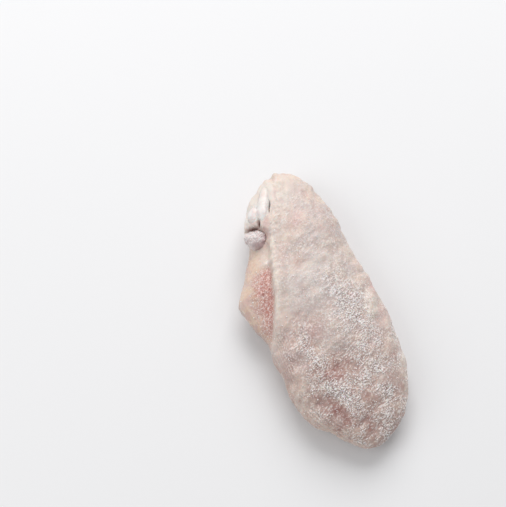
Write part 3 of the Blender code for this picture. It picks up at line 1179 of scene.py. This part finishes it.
@dataclass(frozen=True)
class Rime:
    """Frost on a surface: a pale haze with white grains on it and the surface dark between them, partly the
    bare surface's darker tone and partly painted shade between the grains.

    The amount of frost lifts the noise of the grains, and more where it is thick.
    """

    detail: float = 1.5
    roughness: float = 0.65
    long_turn: float = 28.0
    long_scale: Place = (2.4, 1.0, 1.0)
    streaks: Cloud = Cloud(7 * MM, (0.42, 0.6), (0.15, 0.75), 1.0)
    thinness: Cloud = Cloud(1.5 * MM, (0.36, 0.62), (0.55, 1.0), 3.0, 0.6)
    lift: float = 0.036
    thick_lift: float = 0.024
    thick_power: float = 4.0
    haze_share: float = 0.75
    haze_power: float = 2.0
    between_levels: Pair = (0.53, 0.45)
    between_power: float = 0.9
    white_levels: Pair = (0.545, 0.584)
    white_power: float = 0.6
    height_levels: Pair = (0.4, 0.66)

    def tree(self) -> bpy.types.NodeTree:
        """Builds the group.

        Returns:
            The group's nodes.
        """
        inputs = {
            "Place": None,
            "Under": (0.7, 0.6, 0.5),
            "Haze": (0.7, 0.66, 0.64),
            "Between": (0.5, 0.35, 0.3),
            "White": (0.8, 0.8, 0.8),
            "Amount": 0.5,
            "Grains": 3000.0,
        }
        outputs = {"Color": "NodeSocketColor", "Mask": "NodeSocketFloat", "Height": "NodeSocketFloat"}
        nodes, given, result = new_group("rime", inputs, outputs)
        place = given["Place"]
        turn = (0, 0, math.radians(self.long_turn))
        turned = {"Vector": place, "Rotation": turn, "Scale": self.long_scale}
        drawn_out = nodes.add("ShaderNodeMapping", turned, vector_type="TEXTURE").outputs[0]
        round_grains = nodes.noise(place, given["Grains"], self.detail, self.roughness)
        long_grains = nodes.noise(drawn_out, given["Grains"], self.detail, self.roughness)
        streaky = self.streaks.mask(nodes, place)
        grains = nodes.plus(
            nodes.times(round_grains, nodes.minus(1.0, streaky)), nodes.times(long_grains, streaky)
        )
        amount = nodes.times(given["Amount"], self.thinness.mask(nodes, place), clamp=True)
        thick = nodes.times(nodes.power(amount, self.thick_power), self.thick_lift)
        level = nodes.plus(grains, nodes.plus(nodes.times(amount, self.lift), thick))
        haze = nodes.times(nodes.power(amount, self.haze_power), self.haze_share)
        low = nodes.rise(level, self.between_levels)
        between = nodes.times(low, nodes.power(amount, self.between_power))
        dark = nodes.mix(between, nodes.mix(haze, given["Under"], given["Haze"]), given["Between"])
        white = nodes.rise(level, self.white_levels)
        mask = nodes.times(nodes.power(amount, self.white_power), white, clamp=True)
        nodes.feed(result, {
            "Color": nodes.mix(mask, dark, given["White"]),
            "Mask": mask,
            "Height": nodes.times(nodes.rise(level, self.height_levels), amount),
        })
        return nodes.tree


class Effects:
    """The shader node groups that more than one finish uses, each built once."""

    def __init__(self) -> None:
        """Builds the groups."""
        self.mottle = Mottle().tree()
        self.rime = Rime().tree()


def new_material(name: str) -> tuple[bpy.types.Material, Nodes, bpy.types.Node]:
    """Starts a material.

    Args:
        name: The material's name.

    Returns:
        The material, its nodes and its shader.
    """
    material = bpy.data.materials.new(name)
    material.use_nodes = True
    return material, Nodes(material.node_tree), material.node_tree.nodes["Principled BSDF"]


@dataclass(frozen=True)
class Blend:
    """Blotches of a second colour on a first, how many a metre has, and the second one's share."""

    first: Colour
    second: Colour
    blotches: float
    share: float

    def place(self, effects: Effects, nodes: Nodes, place: Socket) -> bpy.types.Node:
        """Places the mottle group with these values."""
        return nodes.group(effects.mottle, {
            "Place": place,
            "First": self.first,
            "Second": self.second,
            "Blotches": self.blotches,
            "Share": self.share,
        })


@dataclass(frozen=True)
class Tint:
    """A colour, and how much of it shows at most."""

    colour: Feed
    most: Feed = 1.0


@dataclass(frozen=True)
class RimedFinish:
    """What the frosted finishes share: rime over a colour, a fine bump and light from within.

    The gloss pair is the roughness of the bare surface and of its frost.
    """

    name: str
    grains: float
    rime: Colour
    between: Colour
    frost: Colour
    gloss: Pair
    specular: float
    grain: Cloud
    grain_share: float
    bump_depth: float
    bump_strength: float
    glow: float
    glow_colour: Colour
    glow_depth: float
    frosted: Pair = (0.0, 0.6)

    def build(self, effects: Effects) -> bpy.types.Material:
        """Builds the material.

        Args:
            effects: The shared node groups.

        Returns:
            The material.
        """
        material, nodes, shader = new_material(self.name)
        place = nodes.place()
        rime = nodes.group(effects.rime, {
            "Place": place,
            "Under": self.bare(effects, nodes, place),
            "Haze": self.rime,
            "Between": self.between,
            "White": self.frost,
            "Amount": nodes.mark(Mark.FROST),
            "Grains": self.grains,
        })
        roughness = nodes.rise(rime.outputs["Mask"], self.frosted, self.gloss)
        grain = nodes.times(self.grain.noise(nodes, place), self.grain_share)
        bump = nodes.add("ShaderNodeBump", {
            "Height": nodes.plus(grain, rime.outputs["Height"]),
            "Distance": self.bump_depth,
            "Strength": self.bump_strength,
        })
        nodes.feed(shader, {
            "Base Color": rime.outputs["Color"],
            "Roughness": nodes.minus(roughness, self.wetness(nodes)),
            "Normal": bump.outputs["Normal"],
            "Specular IOR Level": self.specular,
            "Subsurface Weight": self.glow,
            "Subsurface Radius": self.glow_colour,
            "Subsurface Scale": self.glow_depth,
        })
        return material

    def bare(self, effects: Effects, nodes: Nodes, place: Socket) -> Socket:
        """The colour without its frost, which each finish has its own of."""
        raise NotImplementedError

    def wetness(self, nodes: Nodes) -> Feed:
        """How much smoother the surface is than its gloss says."""
        return 0.0


@dataclass(frozen=True)
class SkinFinish(RimedFinish):
    """Frozen skin with the fat and the bared meat: cream to pink-grey, hazed with frost."""

    name: str = "frosted skin"
    grains: float = 1900.0
    rime: Colour = (0.74, 0.695, 0.685)
    # Dark between the frost grains: partly the skin's darker tone, partly painted shade.
    between: Colour = (0.29, 0.178, 0.158)
    frost: Colour = (0.97, 0.92, 0.90)
    gloss: Pair = (0.46, 0.72)
    specular: float = 0.4
    grain: Cloud = Cloud(0.8 * MM, detail=3.0, roughness=0.6)
    grain_share: float = 0.7
    bump_depth: float = 0.25 * MM
    bump_strength: float = 0.9
    glow: float = 0.2
    glow_colour: Colour = (1.0, 0.45, 0.3)
    glow_depth: float = 1.8 * MM

    broad: Blend = Blend((0.71, 0.582, 0.50), (0.575, 0.493, 0.47), 120.0, 0.5)
    web: Blend = Blend((0.73, 0.53, 0.40), (0.64, 0.44, 0.39), 300.0, 0.47)
    web_most: float = 0.85
    pink: Tint = Tint((0.62, 0.435, 0.39), 0.32)
    # Paler cream dabs: partly the skin's mottle, partly painted highlights on the goose flesh.
    pale: Tint = Tint((0.80, 0.715, 0.635), 0.22)
    pale_spots: Cloud = Cloud(1.3 * MM, (0.42, 0.62), roughness=0.6)
    # Painted shade: the darker, pinker colour in valleys and creases.
    valley_shade: Tint = Tint((0.56, 0.41, 0.375), 0.42)
    # Darker and pinker towards the wrist: partly the skin's own tone, partly painted shade on the end that
    # turns from the light.
    wrist: Tint = Tint((0.58, 0.42, 0.365), 0.5)
    haze: Tint = Tint((0.635, 0.585, 0.565), 0.72)
    # The pale cream of the fat, also used as painted light on slopes and edges that turn from the light.
    fat: Tint = Tint((0.80, 0.715, 0.635), 0.75)
    meat: Colour = (0.54, 0.24, 0.20)
    meat_light: Colour = (0.88, 0.64, 0.58)
    meat_specks: Cloud = Cloud(0.75 * MM, (0.49, 0.62), (0.0, 0.8), roughness=0.65)
    meat_wetness: float = 0.12
    flush: Colour = (0.35, 0.165, 0.145)
    flush_spots: Cloud = Cloud(1.4 * MM, (0.3, 0.65), (0.5, 1.0), 3.0, 0.6)
    sheath: Tint = Tint((0.88, 0.82, 0.775), 0.8)
    tissue: Tint = Tint((0.66, 0.45, 0.42), 0.9)
    # Painted shade: a near-black brown in the gaps round the knobs.
    gap_shade: Tint = Tint((0.20, 0.10, 0.09))

    def bare(self, effects: Effects, nodes: Nodes, place: Socket) -> Socket:
        """The skin's colour without its frost: each marked tint over those before it.

        Args:
            effects: The shared node groups.
            nodes: The material's nodes.
            place: The place on the wing.

        Returns:
            The colour.
        """
        broad = self.broad.place(effects, nodes, place)
        small = self.web.place(effects, nodes, place)
        pale = nodes.times(self.pale_spots.mask(nodes, place), self.pale.most)
        pink = nodes.times(small.outputs["Mask"], self.pink.most)
        colour = nodes.mix(pink, broad.outputs["Color"], self.pink.colour)
        colour = nodes.mix(pale, colour, self.pale.colour)
        web = nodes.mix(pale, small.outputs["Color"], self.pale.colour)
        meat = nodes.mix(self.meat_specks.mask(nodes, place), self.meat, self.meat_light)
        # Among these tints, the valleys', the gaps' and the wrist's and part of the fat's paint shade and
        # light.
        tints = {
            Mark.VALLEY_SHADE: self.valley_shade,
            Mark.WRIST: self.wrist,
            Mark.HAZE: self.haze,
            Mark.WEB: Tint(web, self.web_most),
            Mark.FAT: self.fat,
            Mark.MEAT: Tint(meat),
            Mark.FLUSH: Tint(self.flush, self.flush_spots.mask(nodes, place)),
            Mark.SHEATH: self.sheath,
            Mark.TISSUE: self.tissue,
            Mark.GAP_SHADE: self.gap_shade,
        }
        for kind, tint in tints.items():
            colour = nodes.mix(nodes.times(nodes.mark(kind), tint.most), colour, tint.colour)
        return colour

    def wetness(self, nodes: Nodes) -> Feed:
        """The bared meat is wetter than the skin."""
        return nodes.times(nodes.mark(Mark.MEAT), self.meat_wetness)


@dataclass(frozen=True)
class GristleFinish(RimedFinish):
    """Wet white gristle that turns pink towards the bone, with frost where it is marked."""

    name: str = "white gristle"
    grains: float = 1600.0
    rime: Colour = (0.80, 0.765, 0.77)
    # Dark between the frost grains: partly the gristle's darker tone, partly painted shade.
    between: Colour = (0.52, 0.39, 0.38)
    frost: Colour = (0.80, 0.765, 0.77)
    gloss: Pair = (0.38, 0.7)
    specular: float = 0.5
    grain: Cloud = Cloud(0.8 * MM)
    grain_share: float = 1.0
    bump_depth: float = 0.12 * MM
    bump_strength: float = 0.5
    glow: float = 0.3
    glow_colour: Colour = (1.0, 0.6, 0.5)
    glow_depth: float = 1.5 * MM

    mottle: Blend = Blend((0.88, 0.845, 0.82), (0.78, 0.68, 0.66), 420.0, 0.42)
    # Mauve where flushed; on the radius's ball this is partly painted shade.
    flush: Tint = Tint((0.46, 0.32, 0.33), 0.8)
    skin: Colour = (0.79, 0.70, 0.635)

    def bare(self, effects: Effects, nodes: Nodes, place: Socket) -> Socket:
        """The gristle's colour without its frost.

        Args:
            effects: The shared node groups.
            nodes: The material's nodes.
            place: The place on the knob.

        Returns:
            The colour.
        """
        mottle = self.mottle.place(effects, nodes, place)
        flush = nodes.times(nodes.mark(Mark.FLUSH), self.flush.most)
        flushed = nodes.mix(flush, mottle.outputs["Color"], self.flush.colour)
        return nodes.mix(nodes.mark(Mark.FAT), flushed, self.skin)


@dataclass(frozen=True)
class FrostFinish:
    """Grains of ice, white with a slight cast in places and glossier on some sides."""

    white: Colour = (0.97, 0.925, 0.905)
    dull: Colour = (0.93, 0.875, 0.86)
    dull_spots: Cloud = Cloud(0.6 * MM, (0.35, 0.65))
    gloss_spots: Cloud = Cloud(0.3 * MM, (0.3, 0.7), (0.2, 0.5))

    def build(self) -> bpy.types.Material:
        """Builds the material.

        Returns:
            The material.
        """
        material, nodes, shader = new_material("ice grains")
        place = nodes.place()
        colour = nodes.mix(self.dull_spots.mask(nodes, place), self.white, self.dull)
        nodes.feed(shader, {"Base Color": colour, "Roughness": self.gloss_spots.mask(nodes, place)})
        return material


@dataclass(frozen=True)
class Knob:
    """An egg-shaped knob of gristle, in millimetres, turned from +X and tilted up at its first axis."""

    middle: Place
    half_sizes: Place
    turn: float
    tilt: float = 0.0

    def matrix(self, grown: float) -> Matrix:
        """Where a ball of radius 1 m becomes the knob.

        Args:
            grown: How much larger the knob is all round.

        Returns:
            The ball's move, turn and sizes.
        """
        placed = Matrix.Translation(Vector(self.middle) * MM)
        turned = Matrix.Rotation(math.radians(self.turn), 4, "Z")
        tilted = Matrix.Rotation(-math.radians(self.tilt), 4, "Y")
        sizes = [size * MM + grown for size in self.half_sizes]
        return placed @ turned @ tilted @ Matrix.Diagonal((*sizes, 1))


@dataclass(frozen=True)
class BoneForm:
    """A bone: a round shaft on a bowed route, and the gristle knobs of its head.

    The route and the thickness are in millimetres. The flush and the skin lie on the head, and its
    frost is from 0 to 1.
    """

    name: str
    route: tuple[Place, ...]
    thickness: float
    knobs: tuple[Knob, ...]
    dents: Bumps
    flush: tuple[Patch, ...]
    skin: tuple[Patch, ...]
    frost: float


ULNA = BoneForm(
    name="ulna",
    route=((-3.5, 33, 9), (1, 15, 8.3), (3.5, 0, 8), (4.5, -33, 7.5)),
    thickness=4.6,
    knobs=(
        Knob((-3.1, 34, 9.4), (5, 3.9, 4.2), 240),
        Knob((-1.85, 37.25, 14.25), (6.8, 2.1, 2.55), 243.5, 11),
        Knob((-3.3, 34.5, 14.75), (2.9, 2.15, 2.45), 243.5, 10),
        Knob((-0.4, 39.9, 13.75), (3.9, 1.95, 2.4), 242, 12),
        Knob((-6.0, 35.1, 12.75), (3.4, 2.2, 2.5), 245, 10),
    ),
    dents=Bumps(2.6 * MM, 9.0, 0.14 * MM),
    flush=patches((-7.6, 32.6, 1.4, 0.8, -27, 0.3)),
    skin=patches(
        (0.9, 42.2, 4.2, 3, 62, 1), (-4.6, 38.6, 1.8, 1.8, 0, 0.6), (-8.2, 36.4, 3, 0.7, 66, 0.7),
    ),
    frost=0.1,
)
RADIUS = BoneForm(
    name="radius",
    route=((-8.8, 27.2, 10.5), (-8, 20, 9.3), (-6.5, 2, 8.2), (-4.5, -31, 7.8)),
    thickness=3.2,
    knobs=(
        Knob((-8.4, 26.9, 13.1), (3.4, 3.1, 3.0), -22),
        Knob((-9.8, 28.2, 12.9), (2.5, 2.15, 2.5), -22),
        Knob((-7.4, 27.7, 13.3), (2.5, 2.2, 2.3), -22),
    ),
    dents=Bumps(1.3 * MM, 9.0, 0.32 * MM),
    # The mauve on the ball's right and lower side: partly its own tone where the frost is thin, partly
    # painted shade on the side turned from the light and into the bowl.
    flush=patches(
        (-5.9, 26.3, 3.4, 1.3, 66, 1), (-7.6, 24.3, 2.9, 1.2, -12, 0.9),
        (-9.6, 25.2, 1.4, 0.8, -21, 0.45),
    ),
    skin=(),
    frost=0.8,
)


@dataclass
class Bone:
    """One bone with its gristle head, rounded into one skin."""

    form: BoneForm
    shaft_rings: int = 60
    shaft_sides: int = 28
    waist: Pair = (1.12, -0.24)
    knob_segments: int = 40
    knob_rings: int = 24
    voxel: float = 0.3 * MM
    rounding: int = 4
    rounding_share: float = 0.5
    frost_height: Pair = (11.6 * MM, 12.8 * MM)
    frost_patches: Bumps = Bumps(1.8 * MM, 14.0)
    frost_evenness: Pair = (0.6, 0.8)
    frost_on_flush: Pair = (1, -0.6)

    def shaft(self, grown: float) -> bpy.types.Mesh:
        """The shaft: a round bar along a smooth route, a little thinner at its waist.

        Args:
            grown: How much larger it is all round.

        Returns:
            The shaft's mesh.
        """
        stops = np.array(self.form.route) * MM
        run = np.concatenate([[0], np.cumsum(np.linalg.norm(np.diff(stops, axis=0), axis=1))])
        share = np.linspace(0, 1, self.shaft_rings)
        profiles = [Profile(tuple(zip(run / run[-1], stops[:, axis] / MM))) for axis in range(3)]
        middle = np.stack([profile.at(share) for profile in profiles], axis=-1)
        across = np.array((1.0, 0, 0))
        up = unit(np.cross(np.gradient(middle, axis=0), across))
        turn = np.linspace(0, 2 * math.pi, self.shaft_sides, endpoint=False)[None, :, None]
        radius = self.form.thickness * MM / 2 * partly(self.waist, np.sin(math.pi * share)) + grown
        ring = across * np.cos(turn) + up[:, None, :] * np.sin(turn)
        return Rings.mesh(self.form.name, middle[:, None, :] + radius[:, None, None] * ring)

    def build(self, name: str, voxel: float, grown: float = 0.0) -> bpy.types.Object:
        """The bone as one closed skin.

        Args:
            name: The object's name.
            voxel: How fine its mesh is.
            grown: How much larger it is all round.

        Returns:
            The bone.
        """
        bone = place_object(name, self.shaft(grown))
        shape = bmesh.new()
        shape.from_mesh(bone.data)
        for knob in self.form.knobs:
            bmesh.ops.create_uvsphere(
                shape,
                u_segments=self.knob_segments,
                v_segments=self.knob_rings,
                radius=1,
                matrix=knob.matrix(grown),
            )
        shape.to_mesh(bone.data)
        shape.free()
        remesh = bone.modifiers.new("skin", "REMESH")
        remesh.mode = "VOXEL"
        remesh.voxel_size = voxel
        smooth = bone.modifiers.new("rounding", "SMOOTH")
        smooth.factor = self.rounding_share
        smooth.iterations = self.rounding
        apply_modifiers(bone)
        return bone

    def dress(self, finish: bpy.types.Material) -> bpy.types.Object:
        """The bone with its dents, its marks and its finish.

        Args:
            finish: The material.

        Returns:
            The piece, which stands for the bone's node.
        """
        piece = self.build(self.form.name + "_gristle", self.voxel)
        mesh = piece.data
        places = read_values(mesh.vertices, "co", 3)
        normals = read_values(mesh.vertex_normals, "vector", 3)
        moved = places + normals * self.form.dents.heights(places)[:, None]
        mesh.vertices.foreach_set("co", moved.astype(np.float32).ravel())
        mesh.update()
        flush = overlay(self.form.flush, places)
        uneven = partly(self.frost_evenness, self.frost_patches.read(places))
        bared = ease(*self.frost_height, places[:, 2])
        write_marks(mesh, {
            Mark.FROST: self.form.frost * uneven * partly(self.frost_on_flush, flush) * bared,
            Mark.MEAT: np.zeros(len(places)),
            Mark.FLUSH: flush,
            Mark.FAT: overlay(self.form.skin, places),
        })
        clothe(piece, finish)
        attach(piece, BODY)
        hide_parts(self.form.name)
        return piece


@dataclass
class SkinAndMeat:
    """The wing's body: skin, fat and meat, with room for its bones.

    Sides are heights round a ring, from -1 below to 1 on the back. Edges along the wing and beyond
    the margin are in millimetres.
    """

    form: WingForm = WingForm()
    relief: SkinRelief = SkinRelief()
    pit: JointPit = JointPit()
    spots: SkinMarks = SkinMarks()
    rings: int = 324
    sides: int = 270
    rim_angle: float = 62.0

    top_side: Pair = (-0.05, 0.3)
    back_side: Pair = (-0.35, 0.15)
    web_edge: Pair = (-0.3, 0.4)
    web_stretch: Stretch = Stretch((0.2, 0.27), (0.56, 0.68))
    wrist_edge: Pair = (4, -34)
    elbow_edge: Pair = (44, 24)

    room_gap: float = 0.04 * MM
    room_voxel: float = 0.45 * MM

    def survey(self) -> Ground:
        """Lays out the plain body.

        Returns:
            The body, and where on it each point is.
        """
        form = self.form
        turn = form.turns(self.rings)[:, None]
        share = (1 - np.cos(turn)) / 2
        angle = form.side_angles(turn, share, self.sides)
        points = form.lower_web(form.plain_points(turn, share, angle), share, angle)
        y = points[..., 1] / MM
        beyond = (form.margin(share) - points[..., 0]) / MM
        top = ease(*self.top_side, np.sin(angle))
        return Ground(
            points=points,
            share=share,
            angle=angle,
            y=y,
            beyond=beyond,
            top=top,
            back=ease(*self.back_side, np.sin(angle)),
            web=self.web_stretch.keep(top * ease(*self.web_edge, beyond), share),
            wrist=ease(*self.wrist_edge, y),
            off_elbow=ease(*self.elbow_edge, y),
        )

    def build(self) -> bpy.types.Object:
        """The finished surface with its marks.

        Returns:
            The body, not yet dressed.
        """
        at = self.survey()
        far = self.pit.place(at.points)
        marks = self.spots.spread(at, self.relief, self.pit)
        height = self.relief.heights(at, marks[Mark.FROST]) * ease(*self.pit.edge, far)
        height += self.pit.sink(at.points, far) * ease(*self.pit.upper_side, np.sin(at.angle))
        height -= self.relief.crease_depth * self.relief.crease(at)
        raised = at.points + Rings.outward(at.points) * height[..., None]
        raised[..., 2] = np.maximum(self.pit.cut_bowl(raised), 0)
        mesh = Rings.mesh("skin_and_meat", raised)
        write_marks(mesh, {kind: Rings.with_ends(values) for kind, values in marks.items()})
        return place_object("skin_and_meat_finish", mesh)

    def clear_room(self, body: bpy.types.Object, bone: Bone) -> None:
        """Cuts a bone's room from the body.

        Args:
            body: The body.
            bone: The bone.
        """
        room = bone.build(bone.form.name + "_room", self.room_voxel, self.room_gap)
        cut = body.modifiers.new("room", "BOOLEAN")
        cut.operation = "DIFFERENCE"
        cut.solver = "MANIFOLD"
        cut.object = room
        apply_modifiers(body)
        bpy.data.objects.remove(room, do_unlink=True)

    def dress(self, finish: bpy.types.Material, bones: tuple[Bone, ...]) -> bpy.types.Object:
        """The body with its rooms cut and its finish on.

        Args:
            finish: The material.
            bones: The bones that lie in it.

        Returns:
            The piece, which stands for the body's node.
        """
        piece = self.build()
        for bone in bones:
            self.clear_room(piece, bone)
        clothe(piece, finish)
        piece.data.set_sharp_from_angle(angle=math.radians(self.rim_angle))
        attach(piece, BODY)
        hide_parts("skin_and_meat")
        return piece


@dataclass
class FrostGrains:
    """Ice grains that lie on surfaces, as one mesh of small eight-sided crystals.

    Tries for a grain's place are drawn by density, and one is kept in each cell of the spacing.
    """

    name: str = "frost_on_skin"
    tries: int = 9000
    spacing: float = 0.62 * MM
    stray_density: float = 0.004
    meat_density: float = 0.3
    least_frost: float = 0.25
    frost_power: float = 1.5
    off_floor: Pair = (-0.4 * MM, 2 * MM)

    half_sizes: Pair = (0.13 * MM, 0.27 * MM)
    size_power: int = 2
    size_on_meat: Pair = (1, -0.35)
    lift: float = 0.25
    flatness: float = 0.6
    stretch: Pair = (0.7, 1.3)
    long_share: float = 0.35
    long_turn: float = 28.0
    long_stretch: Pair = (1.9, 0.65)
    seed: int = 8

    @staticmethod
    def triangles(ground: bpy.types.Object) -> tuple[Array, Array, Array]:
        """The surface's triangles.

        Args:
            ground: The surface.

        Returns:
            The corners of each triangle, and the frost and the bared meat on it.
        """
        mesh = ground.data
        mesh.calc_loop_triangles()
        corners = np.empty(len(mesh.loop_triangles) * 3, np.int32)
        mesh.loop_triangles.foreach_get("vertices", corners)
        corners = corners.reshape(-1, 3)
        frost, meat = (read_mark(mesh, kind)[corners].mean(axis=1) for kind in (Mark.FROST, Mark.MEAT))
        return read_values(mesh.vertices, "co", 3)[corners], frost, meat

    def scatter(self, grounds: tuple[bpy.types.Object, ...]) -> bpy.types.Mesh:
        """Lays the grains where the grounds are marked with frost.

        Args:
            grounds: The surfaces.

        Returns:
            The grains.
        """
        draw = np.random.default_rng(self.seed)
        parts = [self.triangles(ground) for ground in grounds]
        triangle, frost, meat = (np.concatenate(values) for values in zip(*parts))
        facing = np.cross(triangle[:, 1] - triangle[:, 0], triangle[:, 2] - triangle[:, 0])
        area = np.linalg.norm(facing, axis=1)
        frosted = np.clip(frost - self.least_frost, 0, 1) ** self.frost_power
        density = self.stray_density + frosted + self.meat_density * meat
        weight = area * density * ease(*self.off_floor, triangle[..., 2].mean(axis=1))
        chosen = draw.choice(len(area), self.tries, p=weight / weight.sum())
        share = draw.dirichlet((1, 1, 1), self.tries)
        middle = np.einsum("nij,ni->nj", triangle[chosen], share)
        apart = np.unique(np.floor(middle / self.spacing), axis=0, return_index=True)[1]
        chosen, middle = chosen[apart], middle[apart]
        normal = unit(facing[chosen], 1e-15)
        size = between(self.half_sizes, draw.random(len(middle)) ** self.size_power)
        size = size * partly(self.size_on_meat, meat[chosen])
        return self.crystals(draw, middle + normal * size[:, None] * self.lift, normal, size)

    def crystals(
        self, draw: np.random.Generator, middle: Array, normal: Array, size: Array
    ) -> bpy.types.Mesh:
        """The grains at their places.

        Args:
            draw: The source of chance.
            middle: The middle of each grain.
            normal: The way that the surface under each faces.
            size: The half size of each grain.

        Returns:
            One mesh that holds them all.
        """
        tips = np.array([(1, 0, 0), (0, 1, 0), (-1, 0, 0), (0, -1, 0), (0, 0, 1), (0, 0, -1)], float)
        upper = [(0, 1, 4), (1, 2, 4), (2, 3, 4), (3, 0, 4)]
        lower = [(1, 0, 5), (2, 1, 5), (3, 2, 5), (0, 3, 5)]
        sides = np.array(upper + lower)
        count = len(size)
        turn = math.radians(self.long_turn)
        drawn_out = draw.random(count)[:, None] < self.long_share
        way = np.where(drawn_out, (math.cos(turn), math.sin(turn), 0), draw.normal(size=(count, 3)))
        first = unit(np.cross(np.cross(normal, way), normal), 1e-9)
        axes = np.stack([first, np.cross(normal, first), normal], axis=1)
        stretch = draw.uniform(*self.stretch, (count, 3)) * np.where(drawn_out, (*self.long_stretch, 1), 1)
        stretch = stretch * (1, 1, self.flatness)
        points = np.einsum("tk,nk,nkj->ntj", tips, stretch, axes) * size[:, None, None] + middle[:, None, :]
        faces = (np.arange(count)[:, None, None] * len(tips) + sides[None]).reshape(-1, 3)
        mesh = bpy.data.meshes.new(self.name)
        mesh.from_pydata(points.reshape(-1, 3).tolist(), [], faces.tolist())
        return mesh

    def dress(self, grounds: tuple[bpy.types.Object, ...], finish: bpy.types.Material) -> bpy.types.Object:
        """The grains with their finish on.

        Args:
            grounds: The surfaces that they lie on.
            finish: The material.

        Returns:
            The piece.
        """
        piece = place_object(self.name, self.scatter(grounds))
        clothe(piece, finish)
        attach(piece, BODY)
        return piece


@dataclass(frozen=True)
class Lamp:
    """A soft square lamp that faces the wing."""

    name: str
    place: Place
    size: float
    watts: float


@dataclass
class Studio:
    """The pale floor, the soft light and the camera."""

    aim: Place = (2.9 * MM, -2.0 * MM, 9.0 * MM)
    aim_pixel: Pair = (323, 312)
    frame_pixels: Pair = (506, 507)
    azimuth: float = -21.5
    elevation: float = 70.0
    lens: float = 85.0
    film: float = 36.0
    nearest: float = 0.01
    metres_per_pixel: float = 0.32 * MM

    floor_size: float = 6.0
    floor_drop: float = 0.05 * MM
    floor_colour: Colour = (0.86, 0.86, 0.87)
    floor_shade: float = 0.985
    floor_blotches: Cloud = Cloud(0.4, (0.3, 0.7))
    floor_roughness: float = 0.8
    floor_specular: float = 0.1

    sky: float = 0.42
    lamps: tuple[Lamp, ...] = (
        Lamp("key", (0.32, 0.66, 0.72), 0.8, 8.3),
        Lamp("fill", (-0.6, 0.1, 0.6), 0.6, 1.6),
    )

    def camera(self) -> None:
        """Sets the camera at the photograph's angle, with the wing at its place in the frame."""
        turn, lift = math.radians(self.azimuth), math.radians(self.elevation)
        right = Vector((math.cos(turn), math.sin(turn), 0))
        back = Vector((math.sin(turn) * math.cos(lift), -math.cos(turn) * math.cos(lift), math.sin(lift)))
        up = back.cross(right)
        wide, high = self.frame_pixels
        distance = self.metres_per_pixel * self.lens / self.film * max(wide, high)
        off_right = (self.aim_pixel[0] - wide / 2) * self.metres_per_pixel
        off_up = (high / 2 - self.aim_pixel[1]) * self.metres_per_pixel
        place = Vector(self.aim) + back * distance - right * off_right - up * off_up
        data = bpy.data.cameras.new("camera")
        data.lens = self.lens
        data.sensor_width = self.film
        data.clip_start = self.nearest
        camera = place_object("camera", data)
        rows = [(right[axis], up[axis], back[axis], place[axis]) for axis in range(3)]
        camera.matrix_world = Matrix((*rows, (0, 0, 0, 1)))
        bpy.context.scene.camera = camera

    def floor(self) -> None:
        """Lays the floor."""
        shape = bmesh.new()
        bmesh.ops.create_grid(shape, x_segments=1, y_segments=1, size=self.floor_size / 2)
        mesh = bpy.data.meshes.new("floor")
        shape.to_mesh(mesh)
        shape.free()
        floor = place_object("floor", mesh)
        floor.location.z = -self.floor_drop
        material, nodes, shader = new_material("pale floor")
        shaded = tuple(self.floor_shade * part for part in self.floor_colour)
        blotches = self.floor_blotches.mask(nodes, nodes.place())
        nodes.feed(shader, {
            "Base Color": nodes.mix(blotches, self.floor_colour, shaded),
            "Roughness": self.floor_roughness,
            "Specular IOR Level": self.floor_specular,
        })
        mesh.materials.append(material)

    def light(self) -> None:
        """Hangs the lamps, and lights the room evenly white."""
        for lamp in self.lamps:
            data = bpy.data.lights.new(lamp.name, "AREA")
            data.shape = "SQUARE"
            data.size = lamp.size
            data.energy = lamp.watts
            obj = place_object(lamp.name, data)
            obj.location = lamp.place
            obj.rotation_euler = (Vector(self.aim) - Vector(lamp.place)).to_track_quat("-Z", "Y").to_euler()
        scene = bpy.context.scene
        scene.world = bpy.data.worlds.new("white room")
        scene.world.use_nodes = True
        sky = {"Color": (1, 1, 1), "Strength": self.sky}
        Nodes(scene.world.node_tree).feed(scene.world.node_tree.nodes["Background"], sky)
        scene.view_settings.view_transform = "Standard"
        scene.view_settings.look = "None"


def report(piece: bpy.types.Object) -> None:
    """Says how many triangles a piece has."""
    triangles = sum(len(face.vertices) - 2 for face in piece.data.polygons)
    log.info("%s: %d triangles", piece.name, triangles)


def main() -> None:
    """Builds the pieces in order."""
    logging.basicConfig(level=logging.INFO, format="%(message)s")
    studio = Studio()
    studio.camera()
    studio.floor()
    studio.light()

    effects = Effects()
    white = GristleFinish()
    frosted = replace(
        white,
        name="frosted gristle",
        mottle=replace(white.mottle, first=(0.72, 0.65, 0.64), second=(0.56, 0.45, 0.45)),
        rime=(0.80, 0.755, 0.745),
        frost=(0.80, 0.755, 0.745),
    )
    ulna, radius = Bone(ULNA), Bone(RADIUS)
    body = SkinAndMeat().dress(SkinFinish().build(effects), (ulna, radius))
    report(body)
    report(ulna.dress(white.build(effects)))
    ball = radius.dress(frosted.build(effects))
    report(ball)
    report(FrostGrains().dress((body, ball), FrostFinish().build()))


if __name__ == "__main__":
    main()
